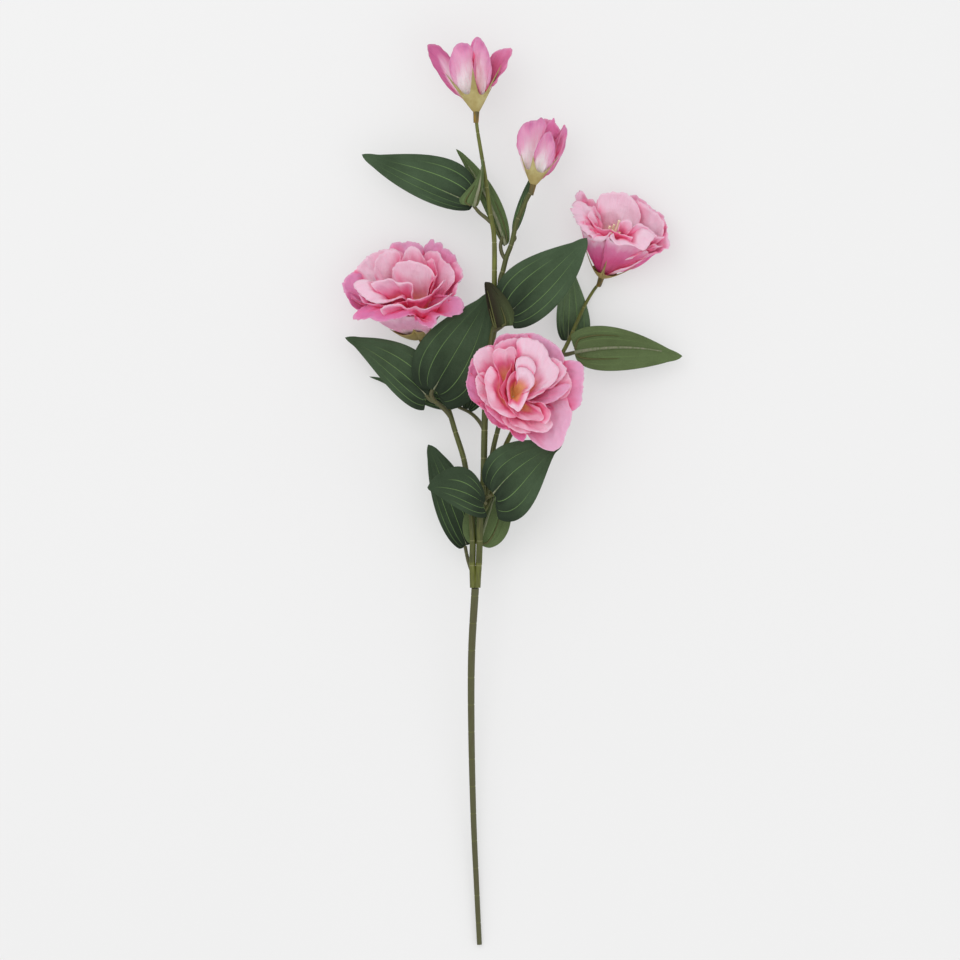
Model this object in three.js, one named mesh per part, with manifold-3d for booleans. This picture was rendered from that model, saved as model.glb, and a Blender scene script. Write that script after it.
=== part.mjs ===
// A lisianthus spray lying on a surface: a long stem, three open double flowers, two buds and sixteen leaves.
// Millimetres. The stem lies along Y with its cut end towards -Y and the flowers towards +Y.
// +Z is up from the surface, and the origin is the middle of the bottom of the whole spray's box.
import * as THREE from 'three';
import { ParametricGeometry } from 'three/addons/geometries/ParametricGeometry.js';
import { mergeGeometries, mergeVertices } from 'three/addons/utils/BufferGeometryUtils.js';
import Module from 'manifold-3d';

// Driving dimensions.
const GAP = 0.3; // between pieces that touch
const MAIN_RADIUS = 2.3;
const CENTRE_RADIUS = 2.3;
const FORK_RADIUS = 2.1;
const BRANCH_RADIUS = 1.8;
const TWIG_RADIUS = 1.3;
const LEAF_THICKNESS = 0.9;
const RIB_THICKNESS = 1.0;
const RIB_HALF_WIDTH = 1.3;
const PETAL_THICKNESS = 0.8;
const COLLAR_LENGTH = 5;
const COLLAR_TOP = -1.2; // just under the calyx, along the flower's axis
const COLLAR_SIDES = 10;
const TUBE_SIDES = 8;
const BLADE_SIDES = 12;
const BLADE_STEPS = 10;
const RIB_SIDES = 6;
const RIB_STEPS = 8;
const RIB_START = 0.08; // along the blade
const RIB_END = 0.75;
const RIB_TAPER = 0.6; // how much thinner the rib gets towards the tip
const SLOPE_STEP = 0.01; // for the slope of a blade, as a part of its length or width
const MERGE_DISTANCE = 1e-3;

const wasm = await Module();
wasm.setup();

const spray = new THREE.Group();

const STEM_GREEN = { color: 0x6a6b3c, roughness: 0.55, metalness: 0 };
const COLLAR_BROWN = { color: 0x816f30, roughness: 0.55, metalness: 0 };
const LEAF_GREEN = { color: 0x475842, roughness: 0.8, metalness: 0 };
const CALYX_OLIVE = { color: 0xb6ab7e, roughness: 0.75, metalness: 0 };
const PETAL_PINK = { color: 0xd7a1b9, roughness: 0.85, metalness: 0 };
const PETAL_DEEP_PINK = { color: 0xd26a8a, roughness: 0.85, metalness: 0 };
const PISTIL_YELLOW = { color: 0xc9b66a, roughness: 0.6, metalness: 0 };

function piece(name, geometry, finish, parent = spray) {
  const mesh = new THREE.Mesh(geometry, new THREE.MeshStandardMaterial(finish));
  mesh.name = name;
  parent.add(mesh);
  return mesh;
}

// Solids: position-only geometry with shared vertices, facing out.

function merged(geometry) {
  const plain = geometry.clone();
  plain.deleteAttribute('normal');
  plain.deleteAttribute('uv');
  return mergeVertices(plain, MERGE_DISTANCE);
}

function toManifold(geometry) {
  const { index, attributes } = merged(geometry);
  return new wasm.Manifold(new wasm.Mesh({
    numProp: 3,
    vertProperties: new Float32Array(attributes.position.array),
    triVerts: new Uint32Array(index.array),
  }));
}

function fromManifold(solid) {
  const mesh = solid.getMesh();
  const geometry = new THREE.BufferGeometry();
  geometry.setAttribute('position', new THREE.BufferAttribute(mesh.vertProperties, mesh.numProp));
  geometry.setIndex(new THREE.BufferAttribute(mesh.triVerts, 1));
  geometry.computeVertexNormals();
  return geometry;
}

function joined(geometries) {
  const [first, ...others] = geometries.map(toManifold);
  return fromManifold(others.reduce((solid, next) => solid.add(next), first));
}

// Turns every face over.
function flip(geometry) {
  const order = geometry.index.array;
  for (let i = 0; i < order.length; i += 3) {
    [order[i + 1], order[i + 2]] = [order[i + 2], order[i + 1]];
  }
  return geometry;
}

// Closes a surface at its seams, and turns it to face out whichever way it was wound.
function closed(surface) {
  const geometry = merged(surface);
  if (toSignedVolume(geometry) < 0) flip(geometry);
  geometry.computeVertexNormals();
  return geometry;
}

const closedSurface = (surface, slices, stacks) => closed(new ParametricGeometry(surface, slices, stacks));

// Two faces that follow each other and meet at their rims. surface also takes the side, 1 above and -1 below.
function closedSheet(surface, slices, stacks) {
  const [above, below] = [1, -1].map((side) => {
    const face = (u, v, target) => surface(u, v, side, target);
    return new ParametricGeometry(face, slices, stacks);
  });
  return closed(mergeGeometries([above, flip(below)]));
}

function toSignedVolume(geometry) {
  const corner = [new THREE.Vector3(), new THREE.Vector3(), new THREE.Vector3()];
  const order = geometry.index.array;
  let volume = 0;
  for (let i = 0; i < order.length; i += 3) {
    corner.forEach((point, k) => point.fromBufferAttribute(geometry.attributes.position, order[i + k]));
    volume += corner[0].dot(corner[1].cross(corner[2])) / 6;
  }
  return volume;
}

// Stems.

const vector = ([x, y, z]) => new THREE.Vector3(x, y, z);

function tube(points, radius, steps) {
  const section = new THREE.Shape();
  for (let i = 0; i < TUBE_SIDES; i += 1) {
    const turn = (2 * Math.PI * i) / TUBE_SIDES;
    const place = [radius * Math.cos(turn), radius * Math.sin(turn)];
    if (i === 0) section.moveTo(...place);
    else section.lineTo(...place);
  }
  section.closePath();
  return new THREE.ExtrudeGeometry(section, {
    steps,
    curveSegments: 1,
    extrudePath: new THREE.CatmullRomCurve3(points.map(vector)),
  });
}

// Leaves. Each is a blade with an ovate outline in plan, arched along its midrib.
// base and tip are the ends of the midrib, and left and right the half-widths seen from base to tip.
// bow bends the midrib to the right, arch lifts its middle, and liftLeft and liftRight raise the two edges.
// A ribbed leaf shows its underside with the moulded rib.

const OVATE_BASE = 0.55; // how quickly the blade widens from its base
const OVATE_TIP = 0.95; // how quickly it narrows to its tip
const OVATE_PEAK = (OVATE_BASE / (OVATE_BASE + OVATE_TIP)) ** OVATE_BASE
  * (OVATE_TIP / (OVATE_BASE + OVATE_TIP)) ** OVATE_TIP;

const ovate = (t) => (t ** OVATE_BASE * (1 - t) ** OVATE_TIP) / OVATE_PEAK;

function bladePoint(leaf, t, across) {
  const base = vector(leaf.base);
  const along = vector(leaf.tip).sub(base);
  const side = new THREE.Vector3(along.y, -along.x, 0).normalize();
  const belly = 4 * t * (1 - t);
  const onRight = across > 0;
  const halfWidth = (onRight ? leaf.right : leaf.left) * ovate(t);
  const edgeLift = ((onRight ? leaf.liftRight : leaf.liftLeft) ?? 0) * ovate(t) * across ** 2;
  return base
    .addScaledVector(along, t)
    .addScaledVector(side, across * halfWidth + (leaf.bow ?? 0) * belly)
    .add(new THREE.Vector3(0, 0, (leaf.arch ?? 0) * belly + edgeLift));
}

function bladeNormal(leaf, t, across) {
  const inside = THREE.MathUtils.clamp(t, 2 * SLOPE_STEP, 1 - 2 * SLOPE_STEP);
  const level = THREE.MathUtils.clamp(across, SLOPE_STEP - 1, 1 - SLOPE_STEP);
  const ahead = bladePoint(leaf, inside + SLOPE_STEP, level);
  const behind = bladePoint(leaf, inside - SLOPE_STEP, level);
  const toRight = bladePoint(leaf, inside, level + SLOPE_STEP);
  const toLeft = bladePoint(leaf, inside, level - SLOPE_STEP);
  return toRight.sub(toLeft).cross(ahead.sub(behind)).normalize();
}

// A blade's section is a thin lens, so its edges and both ends close.
function blade(leaf) {
  return closedSurface((u, v, target) => {
    const turn = 2 * Math.PI * u;
    const across = Math.cos(turn);
    const thickness = 0.5 * LEAF_THICKNESS * Math.sin(turn) * Math.sqrt(Math.sin(Math.PI * v));
    target.copy(bladePoint(leaf, v, across)).addScaledVector(bladeNormal(leaf, v, across), thickness);
  }, BLADE_SIDES, BLADE_STEPS);
}

// The moulded rib follows a blade whose underside is turned up, just clear of it.
function rib(leaf) {
  const height = 0.5 * (LEAF_THICKNESS + RIB_THICKNESS) + GAP;
  return closedSurface((u, v, target) => {
    const turn = 2 * Math.PI * u;
    const t = THREE.MathUtils.lerp(RIB_START, RIB_END, v);
    const side = bladePoint(leaf, t, SLOPE_STEP).sub(bladePoint(leaf, t, -SLOPE_STEP)).normalize();
    const atEnd = v === 0 || v === 1;
    const taper = atEnd ? 0 : Math.sqrt(Math.sin(Math.PI * v) * (1 - RIB_TAPER * v));
    target.copy(bladePoint(leaf, t, 0))
      .addScaledVector(bladeNormal(leaf, t, 0), height + 0.5 * RIB_THICKNESS * taper * Math.sin(turn))
      .addScaledVector(side, RIB_HALF_WIDTH * taper * Math.cos(turn));
  }, RIB_SIDES, RIB_STEPS);
}

// Petal layers. Each is one sheet cut into petals round the flower's own Z axis.
// Its profile runs from its pole on the axis through a shoulder to its rim, each as [radius, height].

function layerPoint(layer, out, angle, offset) {
  const [[r0, z0], [r1, z1], [r2, z2]] = layer.profile;
  const blend = (a, b, c) => (1 - out) ** 2 * a + 2 * out * (1 - out) * b + out ** 2 * c;
  const slope = (a, b, c) => 2 * (1 - out) * (b - a) + 2 * out * (c - b);
  const run = slope(r0, r1, r2);
  const rise = slope(z0, z1, z2);
  const length = Math.hypot(run, rise);
  const ruffle = (layer.ruffle ?? 0) * out ** 3 * Math.sin(layer.waves * angle);
  const radius = blend(r0, r1, r2) - (offset * rise) / length;
  const height = blend(z0, z1, z2) + (offset * run) / length + ruffle;
  return new THREE.Vector3(radius * Math.cos(angle), radius * Math.sin(angle), height);
}

// How far out the sheet reaches at an angle: full at a petal's middle, less in the notch beside it.
function reach(layer, angle) {
  const middle = Math.abs(Math.cos(0.5 * layer.petals * (angle - (layer.turn ?? 0))));
  return (layer.extent ?? 1) * (1 - layer.notch * (1 - middle ** layer.point));
}

function petalLayer(layer) {
  return closedSheet((u, v, side, target) => {
    const angle = 2 * Math.PI * u;
    const half = 0.5 * PETAL_THICKNESS * Math.sqrt(1 - v);
    const offset = side * half + (layer.shift ?? 0);
    if (v === 0) target.set(0, 0, layer.profile[0][1] + offset);
    else target.copy(layerPoint(layer, v * reach(layer, angle), angle, offset));
  }, layer.slices, layer.stacks);
}

// A lathe turns round Y, and a flower stands along Z.
const upright = (geometry) => geometry.rotateX(Math.PI / 2);

const toProfile = ([radius, height]) => new THREE.Vector2(radius, height);

// From the branch to the calyx, each as [radius, height] with the flower's base at 0.
const COLLAR_PROFILE = [
  [0, -COLLAR_LENGTH], [1.8, -COLLAR_LENGTH], [2.3, -2.5], [2.1, COLLAR_TOP], [0, COLLAR_TOP],
];

// A flower head stands on its collar at base and points along axis.
function head(flower) {
  const group = new THREE.Group();
  group.position.copy(vector(flower.base));
  group.quaternion.setFromUnitVectors(new THREE.Vector3(0, 0, 1), vector(flower.axis).normalize());
  spray.add(group);
  const collar = upright(new THREE.LatheGeometry(COLLAR_PROFILE.map(toProfile), COLLAR_SIDES));
  piece(`${flower.name}_collar`, collar, COLLAR_BROWN, group);
  const calyx = { ...flower.layers[0], ...flower.calyx };
  piece(`${flower.name}_calyx`, petalLayer(calyx), CALYX_OLIVE, group);
  for (const layer of flower.layers) {
    piece(`${flower.name}_${layer.name}`, petalLayer(layer), layer.finish, group);
  }
  if (flower.pistil) piece(`${flower.name}_pistil`, pistil(flower.pistil), PISTIL_YELLOW, group);
  return group;
}

// From foot to top, each as [radius, level] with the level as a part of the pistil's height.
const PISTIL_PROFILE = [
  [0, 0], [1.8, 0.08], [2.6, 0.3], [1.2, 0.55], [1, 0.75], [2.4, 0.9], [1.6, 1], [0, 1],
];

// The ovary with its stamens round it and a broad stigma on top.
function pistil({ foot, height }) {
  const profile = PISTIL_PROFILE.map(([radius, level]) => [radius, foot + level * height]);
  return upright(new THREE.LatheGeometry(profile.map(toProfile), COLLAR_SIDES));
}

// Main stem and fork.

const CUT_END = [-25.5, -350, 2.3];
const FORK_FOOT = [-28.8, -74, 36];
const FORK_TOP_LEFT = [-31, -54, 37];
const FORK_TOP_RIGHT = [-25.9, -54, 37];

piece('main_stem', tube([
  CUT_END, [-27.5, -310, 4.5], [-30.2, -250, 10], [-31.8, -180, 19], [-31.6, -125, 28], FORK_FOOT,
], MAIN_RADIUS, 18), STEM_GREEN);

piece('stem_fork', joined([
  tube([[-30.4, -73.5, 36], [-30.7, -63, 36.7], FORK_TOP_LEFT], FORK_RADIUS, 2),
  tube([[-27.2, -73.5, 36], [-26.6, -63, 36.7], FORK_TOP_RIGHT], FORK_RADIUS, 2),
  tube([[-31, -62, 36.2], [-33.8, -54, 32], [-35.9, -43.9, 25.8]], TWIG_RADIUS, 3),
]), STEM_GREEN);

// Branch stems.

piece('left_flower_stem', joined([
  tube([
    [-31, -53.6, 37], [-30.7, -37, 36.5], [-31.5, -20, 35], [-34, 3, 33], [-37.5, 25, 31], [-44, 46, 28],
    [-49.5, 64, 24.5], [-58, 87, 15], [-64, 101, 8], [-67.3, 109, 5.5], [-69.1, 114.6, 7.4],
  ], BRANCH_RADIUS, 20),
  tube([
    [-47.8, 58, 25.8], [-50.5, 61.5, 29], [-55, 66.5, 33], [-60, 70.5, 35], [-65.5, 72.5, 35.6],
  ], TWIG_RADIUS, 6),
]), STEM_GREEN);

piece('centre_stem', joined([
  tube([
    [-25.9, -53.6, 37], [-25.4, -37, 38], [-25, -20, 39.5], [-23.4, -6, 41], [-22.3, 15, 42],
    [-21.7, 45, 42.5], [-20.8, 72, 42.5], [-18.6, 98, 42.5], [-15.6, 118, 42.5], [-12.7, 131, 42.5],
  ], CENTRE_RADIUS, 18),
  tube([[-24, -10, 40], [-20.5, -3, 39.5], [-18.4, 6, 39]], BRANCH_RADIUS, 3),
  tube([[-24, -16, 38.5], [-20, -11, 36.5], [-17, -4.5, 35]], BRANCH_RADIUS, 3),
  tube([
    [-22, 48, 41.5], [-25.5, 54, 36], [-30, 59, 28], [-35, 62.5, 21], [-41.4, 65.4, 13.6],
  ], TWIG_RADIUS, 6),
  tube([[-22.9, -6, 41], [-19, -4, 44], [-16, -2.4, 46.6]], TWIG_RADIUS, 3),
  tube([[-23.3, -11, 40.4], [-21.6, -9.5, 44], [-20.6, -8.6, 47.4]], TWIG_RADIUS, 3),
  tube([[-25.4, -38, 37.8], [-24.4, -42, 34.6], [-24, -45.5, 31.2]], TWIG_RADIUS, 3),
  tube([[-14, 127, 42.8], [-10, 128.5, 45.5], [-7.6, 132.8, 46.9]], TWIG_RADIUS, 3),
  tube([[-15, 123, 43], [-10.5, 125.5, 48], [-6.2, 126.7, 50.6]], TWIG_RADIUS, 3),
]), STEM_GREEN);

piece('front_flower_stem', tube([
  [-18.3, 6.8, 39], [-15.3, 31, 40], [-11.6, 47, 41.5], [-8, 59, 41.8], [-5.2, 66, 42.8],
  [-4, 69.1, 44.7], [-3.8, 69.6, 46.7],
], BRANCH_RADIUS, 12), STEM_GREEN);

piece('right_flower_stem', joined([
  tube([
    [-16.7, -3.6, 34.9], [-13, 17, 33], [-1, 45, 31], [16, 74, 28], [38.8, 107.5, 22], [50, 129, 16.5],
    [58.5, 145, 10], [64.4, 155.5, 5.1], [67.2, 161.3, 6.4],
  ], BRANCH_RADIUS, 20),
  tube([[38, 106, 22.2], [40.5, 111, 20], [42.6, 115.7, 16.1]], TWIG_RADIUS, 3),
  tube([[38, 106, 22.2], [43, 108, 25], [50.2, 108.2, 28.2]], TWIG_RADIUS, 3),
]), STEM_GREEN);

piece('leading_bud_stem', joined([
  tube([
    [-14.1, 132, 42.6], [-14, 160, 43], [-14.2, 195, 43], [-16.9, 212, 43], [-20.2, 236, 42],
    [-22.7, 252, 41.5], [-26.6, 275, 40.5], [-28, 286.2, 39.9],
  ], BRANCH_RADIUS, 16),
  tube([[-15.5, 206, 43], [-20, 210, 43], [-25.5, 214.5, 43.4], [-29.1, 218.9, 45.9]], TWIG_RADIUS, 4),
]), STEM_GREEN);

piece('side_bud_stem', joined([
  tube([
    [-10.2, 131.1, 42.5], [-9.7, 160, 42], [-7.3, 170.5, 41.5], [-4.6, 181, 41], [-0.8, 191, 40.5],
    [2.7, 206, 40], [8.3, 219, 39], [12.2, 224.5, 38.4], [14.1, 228, 38], [14.8, 230.5, 37.9],
  ], BRANCH_RADIUS, 14),
  tube([[-5.4, 178, 41], [-6.5, 183, 39.5], [-5, 186, 37.8]], TWIG_RADIUS, 3),
  tube([[-0.3, 192.2, 40.4], [1.8, 195, 37.4], [1.4, 197, 34.9]], TWIG_RADIUS, 3),
]), STEM_GREEN);

// Leaves.

const LEAVES = {
  upper_left_leaf: {
    base: [-26.5, 212.6, 42], tip: [-115.6, 260, 22], left: 14, right: 18, bow: 2, arch: 4,
  },
  upper_left_small_leaf: {
    base: [-29.3, 219.4, 46.2], tip: [-24, 250, 48], left: 11, right: 2.5, liftLeft: -5, arch: 1,
    ribbed: true,
  },
  upper_back_leaf: {
    base: [-4, 187, 37], tip: [-43.4, 264, 27], left: 9, right: 12, bow: 3, arch: -5, ribbed: true,
  },
  side_bud_leaf: {
    base: [1.2, 197.4, 34.1], tip: [11.5, 239, 26], left: 1.8, right: 1.6, liftLeft: -6, liftRight: -11,
  },
  middle_right_leaf: {
    base: [-7.2, 133.6, 47.2], tip: [54.5, 191, 47], left: 17, right: 19, bow: -1, arch: 4,
  },
  middle_folded_leaf: {
    base: [-5.5, 127, 51], tip: [-21, 160, 54], left: 4, right: 6, liftLeft: 3, liftRight: -2, ribbed: true,
  },
  right_back_leaf: {
    base: [42.6, 116, 15.5], tip: [45.5, 177, 12], left: 9.5, right: 13, arch: -5, liftRight: -2,
  },
  right_side_leaf: {
    base: [51, 108, 28.5], tip: [131, 105.2, 15], left: 16.5, right: 13, arch: 5, ribbed: true,
  },
  left_outer_leaf: {
    base: [-66, 67, 34.3], tip: [-129, 119, 18], left: 17, right: 18, bow: 3, arch: 3, liftRight: -3,
  },
  left_heart_leaf: {
    base: [-62, 67, 35.6], tip: [-16.5, 152, 47.5], left: 21, right: 20, bow: 2, arch: 6,
  },
  left_under_leaf: {
    base: [-42, 65.5, 13], tip: [-110.5, 89, 6], left: 11, right: 11, arch: 1,
  },
  centre_under_leaf: {
    base: [-34, 62.4, 25], tip: [-10, 112, 30], left: 11, right: 9, arch: 2,
  },
  lower_left_back_leaf: {
    base: [-36, -43.5, 25.5], tip: [-64.5, 36.5, 16], left: 15, right: 9, arch: 2, liftRight: -3,
  },
  lower_left_front_leaf: {
    base: [-17.5, -17, 47], tip: [-65.5, 3, 56], left: 9, right: 12, bow: 5, arch: 3,
  },
  lower_right_leaf: {
    base: [-17.4, -19, 46.5], tip: [41, 42, 47], left: 19, right: 17, arch: 4,
  },
  lower_back_leaf: {
    base: [-24, -46, 30.5], tip: [-9, 32, 27], left: 17, right: 20, arch: -3, ribbed: true,
  },
};

for (const [name, leaf] of Object.entries(LEAVES)) {
  piece(name, blade(leaf), LEAF_GREEN);
  if (leaf.ribbed) piece(`${name}_rib`, rib(leaf), STEM_GREEN);
}

// Open flowers: an outer layer that spreads, a middle one and an inner cup, each sheet inside the last.

const doubleFlower = (radius, depth) => [
  {
    name: 'outer_petals', finish: PETAL_PINK, petals: 5, notch: 0.16, point: 0.5,
    profile: [[0, 0.8], [0.55 * radius, 0.25 * depth], [radius, depth]],
    ruffle: 1.6, waves: 10, slices: 40, stacks: 5,
  },
  {
    name: 'middle_petals', finish: PETAL_DEEP_PINK, petals: 5, notch: 0.14, point: 0.5, turn: 0.6,
    profile: [[0, 2.2], [0.38 * radius, 0.25 * depth], [0.72 * radius, 1.02 * depth]],
    ruffle: 1.2, waves: 10, slices: 40, stacks: 5,
  },
  {
    name: 'inner_petals', finish: PETAL_PINK, petals: 5, notch: 0.16, point: 0.5,
    profile: [[0, 3.6], [0.26 * radius, 0.28 * depth], [0.42 * radius, 0.96 * depth]],
    ruffle: 1, waves: 5, slices: 30, stacks: 5,
  },
];

const SEPALS = {
  petals: 5, notch: 0.55, point: 2, extent: 0.42, shift: -(PETAL_THICKNESS + GAP), ruffle: 0,
  slices: 40, stacks: 4,
};

// Buds: an outer and an inner ring of petals, still upright.

const buds = (radius, height) => [
  {
    name: 'outer_petals', finish: PETAL_PINK, petals: 3, notch: 0.3, point: 0.7,
    profile: [[0, 0.8], [0.5 * radius, 0.12 * height], [radius, height]],
    ruffle: 0, waves: 0, slices: 30, stacks: 5,
  },
  {
    name: 'inner_petals', finish: PETAL_PINK, petals: 3, notch: 0.3, point: 0.7, turn: Math.PI / 3,
    profile: [[0, 2.3], [0.3 * radius, 0.2 * height], [0.66 * radius, 0.98 * height]],
    ruffle: 0, waves: 0, slices: 24, stacks: 5,
  },
];

const HEADS = [
  {
    name: 'left_flower', base: [-70.5, 119, 10.5], axis: [-0.25, 0.78, 0.57], calyx: SEPALS,
    layers: doubleFlower(46, 50), pistil: { foot: 5, height: 24 },
  },
  {
    name: 'front_flower', base: [-2.5, 70.5, 52], axis: [0.24, 0.16, 1], calyx: SEPALS,
    layers: doubleFlower(46, 36), pistil: { foot: 5, height: 18 },
  },
  {
    name: 'right_flower', base: [68.7, 165.9, 9.2], axis: [0.26, 0.83, 0.5], calyx: SEPALS,
    layers: doubleFlower(38, 50), pistil: { foot: 5, height: 24 },
  },
  {
    name: 'leading_bud', base: [-28, 291.6, 40], axis: [0.02, 1, 0.02], calyx: SEPALS, layers: buds(31, 58),
  },
  {
    name: 'side_bud', base: [15.8, 236, 38], axis: [0.24, 1, 0.02], calyx: SEPALS, layers: buds(19, 51),
  },
];

HEADS.forEach(head);

export default spray;
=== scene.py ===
"""A lisianthus spray: grooved stems, pressed fabric leaves, three double flowers and two buds."""
import math

import bpy
import numpy as np
from bpy.props import FloatProperty, FloatVectorProperty, IntProperty, PointerProperty
from mathutils import Matrix, Vector
from mathutils.bvhtree import BVHTree


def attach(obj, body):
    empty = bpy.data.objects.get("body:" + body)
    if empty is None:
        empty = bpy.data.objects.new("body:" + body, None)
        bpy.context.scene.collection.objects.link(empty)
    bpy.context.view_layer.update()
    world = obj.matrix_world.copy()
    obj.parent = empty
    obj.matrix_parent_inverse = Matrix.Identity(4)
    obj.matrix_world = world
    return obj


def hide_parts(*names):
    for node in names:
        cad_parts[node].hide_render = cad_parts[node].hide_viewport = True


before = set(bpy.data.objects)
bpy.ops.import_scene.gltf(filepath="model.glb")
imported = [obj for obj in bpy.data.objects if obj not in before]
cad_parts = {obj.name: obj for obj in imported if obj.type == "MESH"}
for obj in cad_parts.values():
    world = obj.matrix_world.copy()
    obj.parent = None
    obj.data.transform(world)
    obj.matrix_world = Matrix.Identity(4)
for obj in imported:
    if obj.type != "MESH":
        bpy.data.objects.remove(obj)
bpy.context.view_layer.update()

bl_info = {
    "name": "Lisianthus spray",
    "version": (1, 0, 0),
    "blender": (4, 5, 0),
    "location": "View3D > Sidebar > Spray",
    "description": "Builds the stems, leaves, flowers and buds of a fabric lisianthus spray",
    "category": "Add Mesh",
}

MM = 0.001
BODY = "root"
UP = np.array([0.0, 0.0, 1.0])


# Small helpers for the sheets that leaves and petals are cut from.

def smooth(low, high, value):
    """Rises smoothly from 0 at low to 1 at high."""
    part = np.clip((value - low) / (high - low), 0.0, 1.0)
    return part * part * (3.0 - 2.0 * part)


def lerp(start, end, part):
    return start + (end - start) * part


def unit(vector):
    return vector / np.linalg.norm(vector)


def waves(rng, value, counts):
    """A sum of sine waves over value, each weaker as it gets finer, with seeded phases."""
    total = 0.0
    for count in counts:
        total = total + np.sin(np.pi * count * value + rng.uniform(0, 2 * np.pi)) / math.sqrt(count)
    return total / len(counts)


def sheet_normal(grid):
    """The direction that a sheet faces at each of its points."""
    normal = np.cross(np.gradient(grid, axis=0), np.gradient(grid, axis=1))
    return normal / np.maximum(np.linalg.norm(normal, axis=2, keepdims=True), 1e-9)


def grid_quads(index):
    """The quads between the points of a grid, given their numbers."""
    corners = (index[:-1, :-1], index[1:, :-1], index[1:, 1:], index[:-1, 1:])
    return np.stack(corners, axis=-1).reshape(-1, 4)


class Cloth:
    """Collects thin closed sheets, each from a grid of points, into one mesh."""

    CUT_EDGE = 0.45  # thickness left at the edge of a sheet, per thickness

    def __init__(self):
        self.points = []
        self.quads = []
        self.smooth = []
        self.uv = []
        self.values = {"underside": [], "vein": [], "tone": [], "outer": [], "heart": [], "fold": []}
        self.count = 0

    def add(self, grid, across, along, thickness, vein=0.0, tone=0.0, outer=0.0, heart=0.0,
            fold=(0.0, 0.0)):
        """A sheet round a grid of rows by columns by 3, in millimetres. Its upper face is the one that
        sheet_normal points to. across and along are its own coordinates, and the rest is what its fabric is
        coloured by."""
        rows, columns, _ = grid.shape
        edge = np.ones((rows, columns, 1))
        edge[[0, -1], :] = edge[:, [0, -1]] = self.CUT_EDGE
        half = 0.5 * thickness * edge * sheet_normal(grid)
        index = np.arange(rows * columns).reshape(rows, columns) + self.count
        under = index + rows * columns
        faces = [grid_quads(index), grid_quads(under)[:, [0, 3, 2, 1]]]
        ring = np.concatenate([index[:-1, 0], index[-1, :-1], index[:0:-1, -1], index[0, :0:-1]])
        low_ring = ring + rows * columns
        rim = np.stack([ring, low_ring, np.roll(low_ring, -1), np.roll(ring, -1)], axis=-1)
        self.quads += [*faces, rim]
        self.smooth += [np.ones(2 * len(faces[0]), dtype=bool), np.zeros(len(rim), dtype=bool)]
        self.points += [(grid + half).reshape(-1, 3), (grid - half).reshape(-1, 3)]
        self.uv += 2 * [np.stack(np.broadcast_arrays(across, along), axis=-1).reshape(-1, 2)]
        kept = {key: (value, value) for key, value in (
            ("vein", vein), ("tone", tone), ("outer", outer), ("heart", heart))}
        for key, values in {"underside": (0.0, 1.0), "fold": fold, **kept}.items():
            self.values[key] += [np.broadcast_to(value, (rows, columns)).reshape(-1) for value in values]
        self.count += 2 * rows * columns

    def build(self, name, material):
        points = np.concatenate(self.points) * MM
        quads = np.concatenate(self.quads)
        mesh = bpy.data.meshes.new(name)
        mesh.vertices.add(len(points))
        mesh.vertices.foreach_set("co", points.ravel())
        mesh.loops.add(quads.size)
        mesh.loops.foreach_set("vertex_index", quads.ravel())
        mesh.polygons.add(len(quads))
        mesh.polygons.foreach_set("loop_start", np.arange(0, quads.size, 4))
        mesh.polygons.foreach_set("use_smooth", np.concatenate(self.smooth))
        mesh.update(calc_edges=True)
        layer = mesh.uv_layers.new(name="cut")
        layer.data.foreach_set("uv", np.concatenate(self.uv)[quads.ravel()].ravel())
        for key, parts in self.values.items():
            mesh.attributes.new(key, "FLOAT", "POINT").data.foreach_set("value", np.concatenate(parts))
        mesh.validate()
        mesh.materials.append(material)
        return linked(name, mesh)


def linked(name, data):
    """A new object in the scene."""
    made = bpy.data.objects.new(name, data)
    bpy.context.scene.collection.objects.link(made)
    return made


def finish_piece(piece, slot, *nodes):
    """Puts a piece on the spray's one body and hides the plain nodes that it stands for. slot, its finish,
    is not used.
    """
    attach(piece, BODY)
    if nodes:
        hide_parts(*nodes)


# Materials.

def rgb(red, green, blue):
    """A colour from 0 to 255 as the linear one that shaders take."""
    def linear(value):
        part = value / 255
        return part / 12.92 if part <= 0.04045 else ((part + 0.055) / 1.055) ** 2.4
    return (linear(red), linear(green), linear(blue))


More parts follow.
